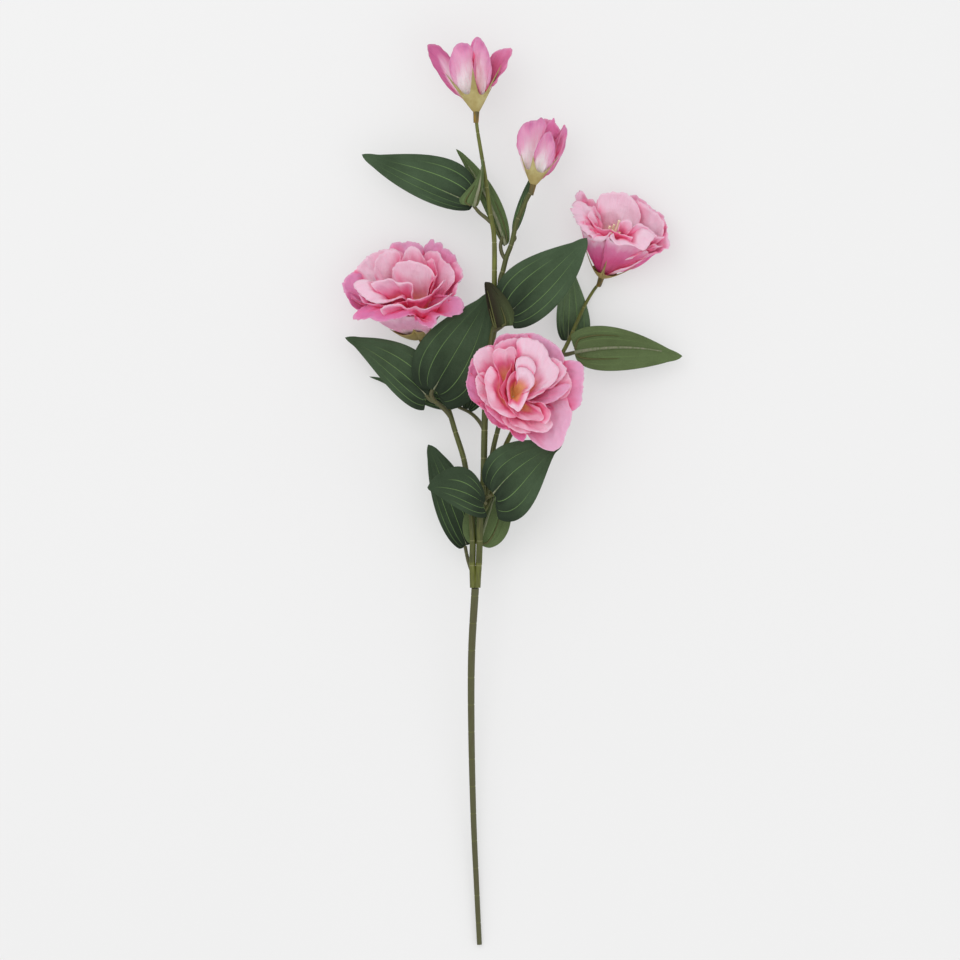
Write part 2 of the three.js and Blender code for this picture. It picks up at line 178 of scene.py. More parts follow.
class Shader:
    """A material with a Principled shader, and short calls that add and link its nodes."""

    def __init__(self, name, roughness, specular):
        self.material = bpy.data.materials.new(name)
        self.material.use_nodes = True
        self.tree = self.material.node_tree
        self.surface = self.tree.nodes["Principled BSDF"]
        self.surface.inputs["Roughness"].default_value = roughness
        self.surface.inputs["Specular IOR Level"].default_value = specular

    def node(self, kind, links=(), **settings):
        made = self.tree.nodes.new(kind)
        for key, value in settings.items():
            if hasattr(made, key):
                setattr(made, key, value)
            else:
                made.inputs[key].default_value = value
        for socket, source in links:
            self.tree.links.new(made.inputs[socket], source)
        return made

    def attribute(self, name):
        return self.node("ShaderNodeAttribute", attribute_name=name).outputs["Fac"]

    def scaled(self, coordinates, scale):
        return self.node("ShaderNodeMapping", [("Vector", coordinates)], Scale=scale).outputs["Vector"]

    def place(self, scale=(1.0, 1.0, 1.0)):
        """Object coordinates stretched by scale on each axis."""
        return self.scaled(self.node("ShaderNodeTexCoord").outputs["Object"], scale)

    def cut(self, scale=(1.0, 1.0, 1.0)):
        """The sheet's own coordinates: across it, and along it from its foot."""
        return self.scaled(self.node("ShaderNodeUVMap", uv_map="cut").outputs["UV"], scale)

    def along(self):
        """How far along its sheet a point lies: 0 at the foot and 1 at the rim."""
        return self.node("ShaderNodeSeparateXYZ", [("Vector", self.cut())]).outputs["Y"]

    def noise(self, vector, scale, detail=3.0):
        made = self.node("ShaderNodeTexNoise", [("Vector", vector)], Scale=scale, Detail=detail)
        return made.outputs["Fac"]

    def wave(self, vector, scale, direction):
        made = self.node("ShaderNodeTexWave", [("Vector", vector)], bands_direction=direction, Scale=scale)
        return made.outputs["Fac"]

    def math(self, operation, first, second):
        made = self.node("ShaderNodeMath", operation=operation)
        for socket, value in zip(made.inputs, (first, second)):
            if isinstance(value, (int, float)):
                socket.default_value = value
            else:
                self.tree.links.new(socket, value)
        return made.outputs[0]

    def ramp(self, factor, stops):
        made = self.node("ShaderNodeValToRGB", [("Fac", factor)])
        elements = made.color_ramp.elements
        while len(elements) < len(stops):
            elements.new(0.5)
        for element, (position, colour) in zip(elements, stops):
            element.position = position
            element.color = (*colour, 1.0)
        return made.outputs["Color"]

    def spread(self, factor, low, high, to_low=0.0, to_high=1.0):
        """Stretches a factor's range from low to high over the one from to_low to to_high."""
        made = self.node("ShaderNodeMapRange", [("Value", factor)], **{
            "From Min": low, "From Max": high, "To Min": to_low, "To Max": to_high})
        return made.outputs["Result"]

    def mix(self, factor, first, second):
        """Two colours, each a plain one or a socket, mixed by a factor's socket."""
        made = self.node("ShaderNodeMix", [(0, factor)], data_type="RGBA")
        for socket, value in zip((made.inputs[6], made.inputs[7]), (first, second)):
            if isinstance(value, bpy.types.NodeSocket):
                self.tree.links.new(socket, value)
            else:
                socket.default_value = (*value, 1.0)
        return made.outputs[2]

    def bump(self, height, strength, distance):
        made = self.node("ShaderNodeBump", [("Height", height)], Strength=strength, Distance=distance)
        self.tree.links.new(self.surface.inputs["Normal"], made.outputs["Normal"])

    def colour(self, source):
        self.tree.links.new(self.surface.inputs["Base Color"], source)


WEAVE_SCALE = 700.0  # bands per metre along each thread direction, over the wave texture's own factor
WEAVE_FUZZ_SCALE = 900.0


def weave(shader, amount=0.5):
    """The height of a plain weave with a little unevenness."""
    place = shader.place()
    threads = shader.math(
        "MULTIPLY", shader.wave(place, WEAVE_SCALE, "X"), shader.wave(place, WEAVE_SCALE, "Y"))
    fuzz = shader.noise(place, WEAVE_FUZZ_SCALE, 2.0)
    return shader.math("ADD", shader.math("MULTIPLY", threads, amount), fuzz)


def leaf_fabric(name, colours):
    """Matte green fabric with printed veins above and a pale olive underside."""
    shader = Shader(name, roughness=0.78, specular=0.2)
    place = shader.place()
    cloud = shader.spread(shader.noise(place, 45.0, 4.0), 0.3, 0.7)
    speck = shader.spread(shader.noise(place, 1400.0, 2.0), 0.3, 0.7)
    drift = shader.spread(shader.noise(shader.cut((3.0, 2.0, 1.0)), 1.5, 2.0), 0.3, 0.7, -0.12, 0.12)
    tone, vein = shader.attribute("tone"), shader.attribute("vein")
    upper = shader.mix(cloud, colours.leaf_shade, colours.leaf_upper)
    # Painted light and shade: a tone below nothing lifts a whole leaf to a paler green, lighting it out of
    # the shade it lies in; a tone above nothing darkens it towards the foot colour, which on the left heart
    # leaf is painted shade.
    upper = shader.mix(shader.spread(tone, -1.0, 0.0, 1.0, 0.0), upper, colours.leaf_painted_light)
    upper = shader.mix(shader.spread(tone, 0.0, 1.0), upper, colours.leaf_base)
    # Darker towards the foot of each leaf.
    based = shader.spread(shader.math("ADD", shader.along(), drift), 0.0, 0.38, 0.95, 0.0)
    upper = shader.mix(based, upper, colours.leaf_base)
    upper = shader.mix(vein, upper, colours.leaf_vein)
    lower = shader.mix(cloud, colours.leaf_under_shade, colours.leaf_under)
    lower = shader.mix(shader.math("MULTIPLY", vein, 0.35), lower, colours.leaf_vein)
    lower = shader.mix(shader.attribute("outer"), lower, colours.leaf_brown)
    both = shader.mix(shader.attribute("underside"), upper, lower)
    shader.colour(shader.mix(shader.math("MULTIPLY", speck, 0.2), both, BLACK))
    shader.bump(shader.math("ADD", weave(shader), shader.noise(place, 260.0)), 0.4, 0.0006)
    return shader.material


BLACK = (0.0, 0.0, 0.0)
FOLD_RED_SHADE = 0.85  # how strongly the deepest folds are painted red, as shade


def petal_fabric(name, colours, inner, outer, deep, streak, fold_shading, rim):
    """Soft pink fabric. inner, outer and deep are its colours from foot to rim: on the upper face, on a
    pale lower face and on a deep-dyed one. Its tone turns it lilac up to 1 and magenta up to 2. The last
    three say how strong its fibres, the painted shade in its folds and its pale edge are."""
    shader = Shader(name, roughness=0.85, specular=0.15)
    along = shader.along()
    drift = shader.spread(shader.noise(shader.cut((5.0, 1.5, 1.0)), 2.0, 2.0), 0.2, 0.8, -0.08, 0.08)
    level = shader.math("ADD", along, drift)
    tone, fold = shader.attribute("tone"), shader.attribute("fold")
    lower = shader.mix(shader.attribute("outer"), shader.ramp(level, outer), shader.ramp(level, deep))
    face = shader.mix(shader.attribute("underside"), shader.ramp(level, inner), lower)
    face = shader.mix(shader.spread(tone, 0.0, 1.2, 0.0, 0.9), face, colours.petal_lilac)
    face = shader.mix(shader.spread(tone, 1.0, 2.0, 0.0, 0.85), face, colours.petal_magenta)
    # Painted shade: the deeper a point lies between the petals, the deeper pink and then the redder it is
    # painted.
    face = shader.mix(shader.spread(fold, 0.08, 0.5, 0.0, fold_shading), face, colours.petal_fibre_and_shade)
    face = shader.mix(shader.spread(fold, 0.5, 0.85, 0.0, FOLD_RED_SHADE), face, colours.petal_fold_shade)
    face = shader.mix(shader.attribute("heart"), face, colours.petal_heart)
    fibres = shader.spread(shader.noise(shader.cut((38.0, 1.6, 1.0)), 3.0), 0.35, 0.75, 0.0, streak)
    face = shader.mix(fibres, face, colours.petal_fibre_and_shade)
    edge = shader.spread(along, 0.955, 0.995, 0.0, rim)
    shader.colour(shader.mix(edge, face, colours.petal_edge))
    height = shader.math("ADD", weave(shader, 0.3), shader.noise(shader.cut((30.0, 2.0, 1.0)), 4.0))
    crinkle = shader.noise(shader.place(), 230.0, 4.0)
    shader.bump(shader.math("ADD", height, shader.math("MULTIPLY", crinkle, 2.0)), 0.5, 0.0007)
    surface = shader.surface
    surface.inputs["Subsurface Weight"].default_value = 0.2
    surface.inputs["Subsurface Radius"].default_value = (1.0, 0.4, 0.5)
    surface.inputs["Subsurface Scale"].default_value = 0.003
    return shader.material


ALONG_STEMS = (1.0, 0.12, 1.0)  # draws a pattern out along Y, as most of the stems run


def stem_plastic(name, colour, shade, pale):
    """Moulded plastic with fine lengthwise streaks and paler rings at the grooves."""
    shader = Shader(name, roughness=0.5, specular=0.4)
    streaks = shader.spread(shader.noise(shader.place(ALONG_STEMS), 700.0), 0.35, 0.65)
    cloud = shader.spread(shader.noise(shader.place(), 60.0), 0.35, 0.65)
    base = shader.mix(streaks, shade, colour)
    base = shader.mix(shader.math("MULTIPLY", cloud, 0.45), base, shade)
    shader.colour(shader.mix(shader.math("MULTIPLY", shader.attribute("ring"), 0.45), base, pale))
    shader.bump(streaks, 0.3, 0.0002)
    return shader.material


# The operators make each material once and share it.

MADE = {}


def shared(make, name, *settings):
    if name not in MADE:
        MADE[name] = make(name, *settings)
    return MADE[name]


def petal_material(colours):
    inner = [
        (0.0, rgb(246, 190, 116)), (0.2, rgb(246, 150, 112)), (0.38, rgb(240, 140, 156)),
        (0.6, rgb(238, 178, 198)), (0.8, colours.petal_pale), (1.0, rgb(238, 194, 214)),
    ]
    outer = [
        (0.0, rgb(186, 172, 122)), (0.14, rgb(220, 204, 186)), (0.32, rgb(228, 200, 204)),
        (0.52, rgb(218, 150, 176)), (0.8, rgb(222, 160, 188)), (1.0, rgb(236, 192, 212)),
    ]
    deep = [
        (0.0, rgb(190, 170, 120)), (0.08, rgb(196, 52, 106)), (0.45, rgb(206, 66, 124)),
        (0.78, rgb(214, 112, 156)), (1.0, rgb(234, 188, 210)),
    ]
    return shared(petal_fabric, "open_petal", colours, inner, outer, deep, 0.16, 0.85, 0.2)


def bud_material(colours):
    inner = [
        (0.0, rgb(176, 150, 90)), (0.3, rgb(176, 70, 104)), (0.7, rgb(178, 80, 118)),
        (1.0, rgb(206, 124, 162)),
    ]
    outer = [
        (0.0, rgb(176, 164, 112)), (0.18, rgb(206, 200, 160)), (0.34, rgb(240, 234, 230)),
        (0.6, rgb(238, 224, 230)), (0.77, rgb(226, 176, 200)), (0.9, rgb(218, 152, 186)),
        (1.0, rgb(190, 108, 154)),
    ]
    deep = [
        (0.0, rgb(176, 164, 112)), (0.25, rgb(220, 214, 196)), (0.5, rgb(240, 230, 232)),
        (0.66, rgb(222, 176, 198)), (0.82, rgb(178, 88, 136)), (1.0, rgb(166, 78, 124)),
    ]
    return shared(petal_fabric, "bud_petal", colours, inner, outer, deep, 0.3, 0.3, 0.15)


# Sizes and colours that a user would change.

class SPRAY_PG_sizes(bpy.types.PropertyGroup):
    leaf_thickness: FloatProperty(
        name="Leaf thickness", description="Thickness of the pressed leaf fabric, in millimetres",
        default=0.4)
    leaf_fold: FloatProperty(
        name="Leaf fold", description="Rise of each half of a leaf from its midrib, per width",
        default=0.16)
    petal_thickness: FloatProperty(
        name="Petal thickness", description="Thickness of the petal fabric, in millimetres", default=0.24)
    groove_spacing: FloatProperty(
        name="Groove spacing", description="Distance between the rings round the stems",
        default=0.0213, unit="LENGTH")
    groove_depth: FloatProperty(
        name="Groove depth", description="Depth of the rings round the stems",
        default=0.00022, unit="LENGTH")
    groove_width: FloatProperty(
        name="Groove width", description="Half-width of the rings round the stems",
        default=0.0006, unit="LENGTH")
    ridges: IntProperty(
        name="Ridges", description="Fine ridges that run along a stem", default=5)
    lens: FloatProperty(
        name="Lens", description="Focal length of the camera, in millimetres", default=300.0)


def tint(name, description, *colour):
    """A colour that a user would change, from 0 to 255."""
    return FloatVectorProperty(name=name, description=description, subtype="COLOR", default=rgb(*colour))


class SPRAY_PG_colours(bpy.types.PropertyGroup):
    leaf_upper: tint("Leaf", "Upper face of the leaves", 72, 92, 66)
    leaf_shade: tint("Leaf shade", "Darker clouds on the upper face", 58, 76, 52)
    # The foot colour below darkens each leaf towards its foot, and whole leaves by their dim, which on the
    # left heart leaf is painted shade. The next colour is painted light, which lifts the right back leaf
    # out of the shade it lies in.
    leaf_base: tint("Leaf base", "Darker dye at the foot of each leaf", 32, 44, 30)
    leaf_painted_light: tint("Leaf pale", "Palest leaves", 112, 138, 100)
    leaf_brown: tint("Leaf brown", "Brown dye on the undersides", 44, 40, 26)
    leaf_vein: tint("Vein", "Printed veins", 122, 154, 92)
    leaf_under: tint("Leaf underside", "Underside of the leaves", 100, 120, 76)
    leaf_under_shade: tint("Underside shade", "Darker clouds below", 86, 102, 62)
    stem: tint("Stem", "Stem plastic", 104, 110, 40)
    stem_shade: tint("Stem shade", "Darker streaks on the stems", 77, 80, 26)
    twig: tint("Side stem", "Plastic of the darker side stems", 84, 90, 34)
    twig_shade: tint("Side stem shade", "Darker streaks on the side stems", 60, 64, 20)
    petiole: tint("Petiole", "Short stalks of the leaves", 74, 70, 40)
    stem_pale: tint("Stem ring", "Paler rings at the grooves", 150, 148, 104)
    collar: tint("Collar", "Brown collars under the flowers", 136, 104, 14)
    rib: tint("Leaf rib", "Moulded ribs below the leaves", 136, 132, 112)
    side_rib: tint("Side rib", "Thinner ribs beside the main one", 78, 80, 46)
    calyx: tint("Calyx", "Calyx fabric", 182, 171, 120)
    calyx_open: tint("Open calyx", "Calyces of the open flowers", 160, 142, 100)
    calyx_shade: tint("Calyx shade", "Foot of the calyx", 150, 132, 76)
    pistil: tint("Pistil", "Pistils and stamens", 236, 220, 186)
    petal_pale: tint("Pale pink", "Open part of the petals", 242, 204, 222)
    petal_edge: tint("Petal edge", "Pale cut edge of the petals", 244, 208, 224)
    petal_magenta: tint("Petal magenta", "The deepest lower petals", 212, 96, 154)
    # The two colours below are painted shade: the deepest folds between the petals turn red and shallower
    # ones deep pink, which also colours the fibres.
    petal_fold_shade: tint("Fold red", "Deepest folds between the petals", 250, 60, 106)
    petal_fibre_and_shade: tint("Deep pink", "Fibres and folds of the petals", 244, 112, 156)
    petal_lilac: tint("Lilac pink", "Outer petals", 218, 142, 184)
    petal_heart: tint("Heart", "Tan hollow at the foot of the petals", 255, 204, 132)
    floor: tint("Floor", "Plain floor", 176, 176, 176)


# Stems: each tube is its route in millimetres, then its radius at the start and at the end.

MAIN_RADII = (1.9, 2.95)
SLEEVE_RADII = (2.5, 2.45)
LIMB_RADII = (2.1, 1.75)
TWIG_RADII = (1.6, 1.3)
PETIOLE_RADIUS = 1.95  # a thinner tube is a leaf's stalk

STEMS = {
    "main_stem": [
        ([(-25.5, -350, 2.3), (-27.5, -310, 4.5), (-30.2, -250, 10), (-31.8, -180, 19), (-31.6, -125, 28),
          (-28.8, -74, 36)], MAIN_RADII),
    ],
    "stem_fork": [
        ([(-30.4, -73.5, 36), (-30.7, -63, 36.7), (-31, -54, 37)], SLEEVE_RADII),
        ([(-27.2, -73.5, 36), (-26.6, -63, 36.7), (-25.9, -54, 37)], SLEEVE_RADII),
        ([(-31, -62, 36.2), (-33.8, -54, 32), (-35.6, -46.5, 27.6), (-36.4, -42, 25.6)], TWIG_RADII),
    ],
    "left_flower_stem": [
        ([(-31, -54.6, 37), (-30.7, -37, 36.5), (-31.5, -20, 35), (-34, 3, 33), (-37.5, 25, 31),
          (-44, 46, 28), (-49.5, 64, 24.5), (-58, 87, 15), (-64, 101, 8), (-67.3, 109, 5.2),
          (-69.1, 114.6, 7.1)], (2.45, 1.7)),
        ([(-47.8, 58, 25.8), (-50.5, 61.5, 27.5), (-55, 66, 29.5), (-60, 70, 31), (-62.6, 74.5, 32),
          (-61.6, 79, 32)], (1.9, 1.6)),
        ([(-59, 69.5, 30.5), (-63, 71, 30.5), (-67, 74.5, 30)], (1.9, 1.5)),
    ],
    "centre_stem": [
        ([(-25.9, -54.6, 37), (-25.4, -37, 38), (-25, -20, 39.5), (-23.4, -6, 41), (-22.3, 15, 42),
          (-21.7, 45, 42.5), (-20.8, 72, 42.5), (-18.6, 98, 42.5), (-15.6, 118, 42.5), (-12.7, 131, 42.5)],
          (2.45, 2.5)),
        ([(-24, -10, 40), (-20.5, -3, 39.5), (-18.4, 6, 39)], LIMB_RADII),
        ([(-24, -16, 38.5), (-20, -11, 36.5), (-17, -4.5, 35)], LIMB_RADII),
        ([(-22, 48, 41.5), (-25.5, 54, 36), (-30, 59, 28), (-35, 62.5, 21), (-41.4, 65.4, 13.6)],
          TWIG_RADII),
        ([(-22.9, -6, 41), (-19, -4, 44), (-16, -2.4, 46.6)], TWIG_RADII),
        ([(-23.3, -11, 40.4), (-21.6, -9.5, 44), (-20.6, -8.6, 47.4)], TWIG_RADII),
        ([(-25.4, -35, 37.8), (-25.4, -38.5, 34.6), (-25.8, -40.8, 31.2)], TWIG_RADII),
        ([(-14, 127, 42.8), (-9.5, 129.5, 45.5), (-3, 136.5, 47)], TWIG_RADII),
        ([(-15, 123, 43), (-10.5, 125.5, 48), (-6.4, 128.3, 51)], TWIG_RADII),
    ],
    "front_flower_stem": [
        ([(-18.3, 6.8, 39), (-15.3, 31, 40), (-11.6, 47, 41.5), (-8, 59, 41.8), (-5.2, 66, 42.8),
          (-4, 69.1, 44.7), (-3.8, 69.6, 46.7)], LIMB_RADII),
    ],
    "right_flower_stem": [
        ([(-16.7, -3.6, 34.9), (-13, 17, 33), (-1, 45, 31), (16, 74, 28), (38.8, 107.5, 22),
          (48.8, 129, 16.5), (56.4, 145, 10), (62.6, 155.5, 5.1), (67.2, 161.3, 6.4)], (2.0, 1.2)),
        ([(38, 106, 22.2), (40.5, 111, 20), (42.6, 115.7, 16.1)], TWIG_RADII),
        ([(38, 106, 22.2), (42, 106, 25), (48.5, 107.6, 29.4)], (1.8, 1.4)),
    ],
    "leading_bud_stem": [
        ([(-14.1, 132, 42.6), (-14, 160, 43), (-14.2, 195, 43), (-16.9, 212, 43), (-20.2, 236, 42),
          (-22.7, 252, 41.5), (-26.6, 275, 40.5), (-28, 286.2, 39.9)], (2.2, 1.3)),
        ([(-15.5, 206, 43), (-20, 210, 43), (-25.5, 214.5, 43.4), (-30, 219.8, 46.2)], TWIG_RADII),
    ],
    "side_bud_stem": [
        ([(-10.2, 131.1, 42.5), (-9.7, 160, 42), (-7.3, 170.5, 41.5), (-4.6, 181, 41), (-0.8, 191, 40.5),
          (2.7, 206, 40), (7.6, 218, 39.2), (10.8, 225, 38.6), (13, 229, 38.1), (14.4, 231.3, 37.9)],
          LIMB_RADII),
        ([(-5.4, 178, 41), (-8.4, 184, 40), (-9.2, 190, 38.6), (-7.6, 196, 36.8)], TWIG_RADII),
        ([(-0.3, 192.2, 40.4), (1.8, 195, 37.4), (1.4, 197, 34.9)], TWIG_RADII),
    ],
}
DARK_STEMS = {"left_flower_stem", "centre_stem", "front_flower_stem", "side_bud_stem"}
ROUTE_STEPS = 12  # between two given points


def smooth_route(points):
    """Points of a Catmull-Rom curve through the given ones."""
    given = [np.array(point, dtype=float) for point in points]
    given = [2 * given[0] - given[1], *given, 2 * given[-1] - given[-2]]
    route = []
    for before, start, end, after in zip(given, given[1:], given[2:], given[3:]):
        for part in np.linspace(0, 1, ROUTE_STEPS, endpoint=False):
            square = part * part
            route.append(0.5 * (
                2 * start + (end - before) * part + (2 * before - 5 * start + 4 * end - after) * square
                + (3 * start - before - 3 * end + after) * square * part))
    route.append(given[-2])
    return route


def route_curve(points):
    """A curve object along the smooth route through the given points."""
    route = smooth_route(points)
    data = bpy.data.curves.new("route", "CURVE")
    data.dimensions = "3D"
    spline = data.splines.new("POLY")
    spline.points.add(len(route) - 1)
    for place, point in zip(spline.points, route):
        place.co = (*(point * MM), 1.0)
    return linked("route", data)


class Nodes:
    """A geometry node tree with named inputs, and short calls that add and link its nodes."""

    def __init__(self, name, sockets):
        self.tree = bpy.data.node_groups.new(name, "GeometryNodeTree")
        self.tree.interface.new_socket("Geometry", in_out="INPUT", socket_type="NodeSocketGeometry")
        self.tree.interface.new_socket("Geometry", in_out="OUTPUT", socket_type="NodeSocketGeometry")
        for label, kind in sockets:
            self.tree.interface.new_socket(label, in_out="INPUT", socket_type=kind)
        self.source = self.tree.nodes.new("NodeGroupInput")
        self.end = self.tree.nodes.new("NodeGroupOutput")

    def node(self, kind, links=(), **settings):
        made = self.tree.nodes.new(kind)
        for key, value in settings.items():
            setattr(made, key, value)
        for socket, value in links:
            if isinstance(value, bpy.types.NodeSocket):
                self.tree.links.new(made.inputs[socket], value)
            else:
                made.inputs[socket].default_value = value
        return made

    def math(self, operation, *values):
        return self.node("ShaderNodeMath", list(enumerate(values)), operation=operation).outputs[0]

    def circle(self, sides):
        """A section of radius 1, which the radius of a tube scales."""
        return self.node("GeometryNodeCurvePrimitiveCircle", [("Resolution", sides), ("Radius", 1.0)])

    def tube(self, curve, section, radius):
        """A closed tube along a curve."""
        return self.node("GeometryNodeCurveToMesh", [
            ("Curve", curve.outputs[0]), ("Profile Curve", section.outputs[0]), ("Scale", radius),
            ("Fill Caps", True),
        ])

    def end_with(self, geometry, material):
        real = self.node("GeometryNodeRealizeInstances", [("Geometry", geometry.outputs[0])]).outputs[0]
        painted = self.node("GeometryNodeSetMaterial", [("Geometry", real), ("Material", material)])
        self.tree.links.new(self.end.inputs[0], painted.outputs[0])

    def applied(self, points, values, name):
        """The mesh that the tree makes on the route through the points, with the given inputs."""
        carrier = route_curve(points)
        modifier = carrier.modifiers.new("tree", "NODES")
        modifier.node_group = self.tree
        for item in self.tree.interface.items_tree:
            if item.in_out == "INPUT" and item.name in values:
                modifier[item.identifier] = values[item.name]
        graph = bpy.context.evaluated_depsgraph_get()
        mesh = bpy.data.meshes.new_from_object(carrier.evaluated_get(graph))
        mesh.name = name
        bpy.data.objects.remove(carrier, do_unlink=True)
        return mesh


NO_GROOVES = 10.0  # a spacing longer than any route
GROOVED_STEP, PLAIN_STEP = 0.0004, 0.001
GROOVE_SHIFT = 0.7  # moves the rings back towards the start of the route, per spacing
TUBE_SIDES = 20
RIDGE_HEIGHT = 0.05  # per radius


def stem_tree():
    """A tube along a curve, with rings cut round it at even distances and fine ridges along it."""
    tree = Nodes("Grooved stem", [
        ("Start Radius", "NodeSocketFloat"), ("End Radius", "NodeSocketFloat"),
        ("Material", "NodeSocketMaterial"), ("Spacing", "NodeSocketFloat"), ("Depth", "NodeSocketFloat"),
        ("Width", "NodeSocketFloat"), ("Ridges", "NodeSocketInt"), ("Step", "NodeSocketFloat"),
    ])
    given = tree.source.outputs
    spacing = given["Spacing"]
    fine = tree.node("GeometryNodeResampleCurve", [
        ("Curve", given["Geometry"]), ("Length", given["Step"]),
    ], mode="LENGTH")
    place = tree.node("GeometryNodeSplineParameter").outputs
    moved = tree.math("ADD", place["Length"], tree.math("MULTIPLY", spacing, GROOVE_SHIFT))
    turn = tree.math("MODULO", moved, spacing)
    gap = tree.math("ABSOLUTE", tree.math("SUBTRACT", turn, tree.math("MULTIPLY", spacing, 0.5)))
    ring = tree.node("ShaderNodeMapRange", [
        ("Value", gap), ("From Min", given["Width"]), ("From Max", 0.0), ("To Min", 0.0), ("To Max", 1.0),
    ], interpolation_type="SMOOTHSTEP").outputs[0]
    taper = tree.node("ShaderNodeMapRange", [
        ("Value", place["Factor"]), ("To Min", given["Start Radius"]), ("To Max", given["End Radius"]),
    ]).outputs[0]
    radius = tree.math("SUBTRACT", taper, tree.math("MULTIPLY", ring, given["Depth"]))
    marked = tree.node("GeometryNodeStoreNamedAttribute", [
        ("Geometry", fine.outputs[0]), ("Name", "ring"), ("Value", ring),
    ], data_type="FLOAT", domain="POINT")
    index = tree.node("GeometryNodeInputIndex").outputs[0]
    angle = tree.math("MULTIPLY", index, 2 * math.pi / TUBE_SIDES)
    ridge = tree.math("COSINE", tree.math("MULTIPLY", angle, given["Ridges"]))
    swell = tree.math("MULTIPLY", ridge, RIDGE_HEIGHT)
    position = tree.node("GeometryNodeInputPosition").outputs[0]
    offset = tree.node("ShaderNodeVectorMath", [(0, position), ("Scale", swell)], operation="SCALE")
    section = tree.node("GeometryNodeSetPosition", [
        ("Geometry", tree.circle(TUBE_SIDES).outputs[0]), ("Offset", offset.outputs[0]),
    ])
    tree.end_with(tree.tube(marked, section, radius), given["Material"])
    return tree


def joined_mesh(name, meshes):
    """One smooth object from several meshes, which stay separate closed shells in it."""
    objects = [linked(mesh.name, mesh) for mesh in meshes]
    first = objects[0]
    if len(objects) > 1:
        with bpy.context.temp_override(active_object=first, selected_editable_objects=objects):
            bpy.ops.object.join()
    first.name = name
    first.data.name = name
    first.data.polygons.foreach_set("use_smooth", np.ones(len(first.data.polygons), dtype=bool))
    return first


def swept(name, tubes, tree, sizes, material, grooved=True, petiole=None):
    """One piece from several tubes, each swept along its own route. petiole is the thin ones' material."""
    spacing, step = (sizes.groove_spacing, GROOVED_STEP) if grooved else (NO_GROOVES, PLAIN_STEP)
    meshes = []
    for points, (start, end) in tubes:
        own = petiole if petiole and start < PETIOLE_RADIUS else material
        meshes.append(tree.applied(points, {
            "Start Radius": start * MM, "End Radius": end * MM, "Material": own, "Spacing": spacing,
            "Depth": sizes.groove_depth, "Width": sizes.groove_width, "Ridges": sizes.ridges, "Step": step,
        }, name))
    return joined_mesh(name, meshes)


class SPRAY_OT_stems(bpy.types.Operator):
    """Sweep every stem with its petioles, rings and ridges"""
    bl_idname = "spray.stems"
    bl_label = "Stems"

    def execute(self, context):
        sizes, colours = context.scene.spray_sizes, context.scene.spray_colours
        plastic = shared(stem_plastic, "moulded_stem", colours.stem, colours.stem_shade, colours.stem_pale)
        brown = shared(stem_plastic, "moulded_petiole", colours.petiole, colours.side_rib, colours.stem)
        dark = shared(stem_plastic, "moulded_twig", colours.twig, colours.twig_shade, colours.stem_pale)
        tree = stem_tree()
        for node, tubes in STEMS.items():
            name, material = node.replace("stem", "stem_moulding"), dark if node in DARK_STEMS else plastic
            piece = swept(name, tubes, tree, sizes, material, petiole=brown)
            finish_piece(piece, "stem_plastic", node)
        return {"FINISHED"}


# Leaves: base is where the petiole meets the blade and tip its point, in millimetres. left and right are
# the two sides seen from base to tip: half-width, how full it is towards its base and towards its tip (less
# is fuller), and how far its lobe reaches back, per length. bow bends the midrib to the right, arch lifts
# its middle, and lift raises the left and the right edge. under is true where the leaf shows its underside,
# and brown is how brown that is. dim is how dark the upper face is, and less than nothing where it is pale.
# rib is the radius of the rib at the base and at its end, where it isn't the usual one.

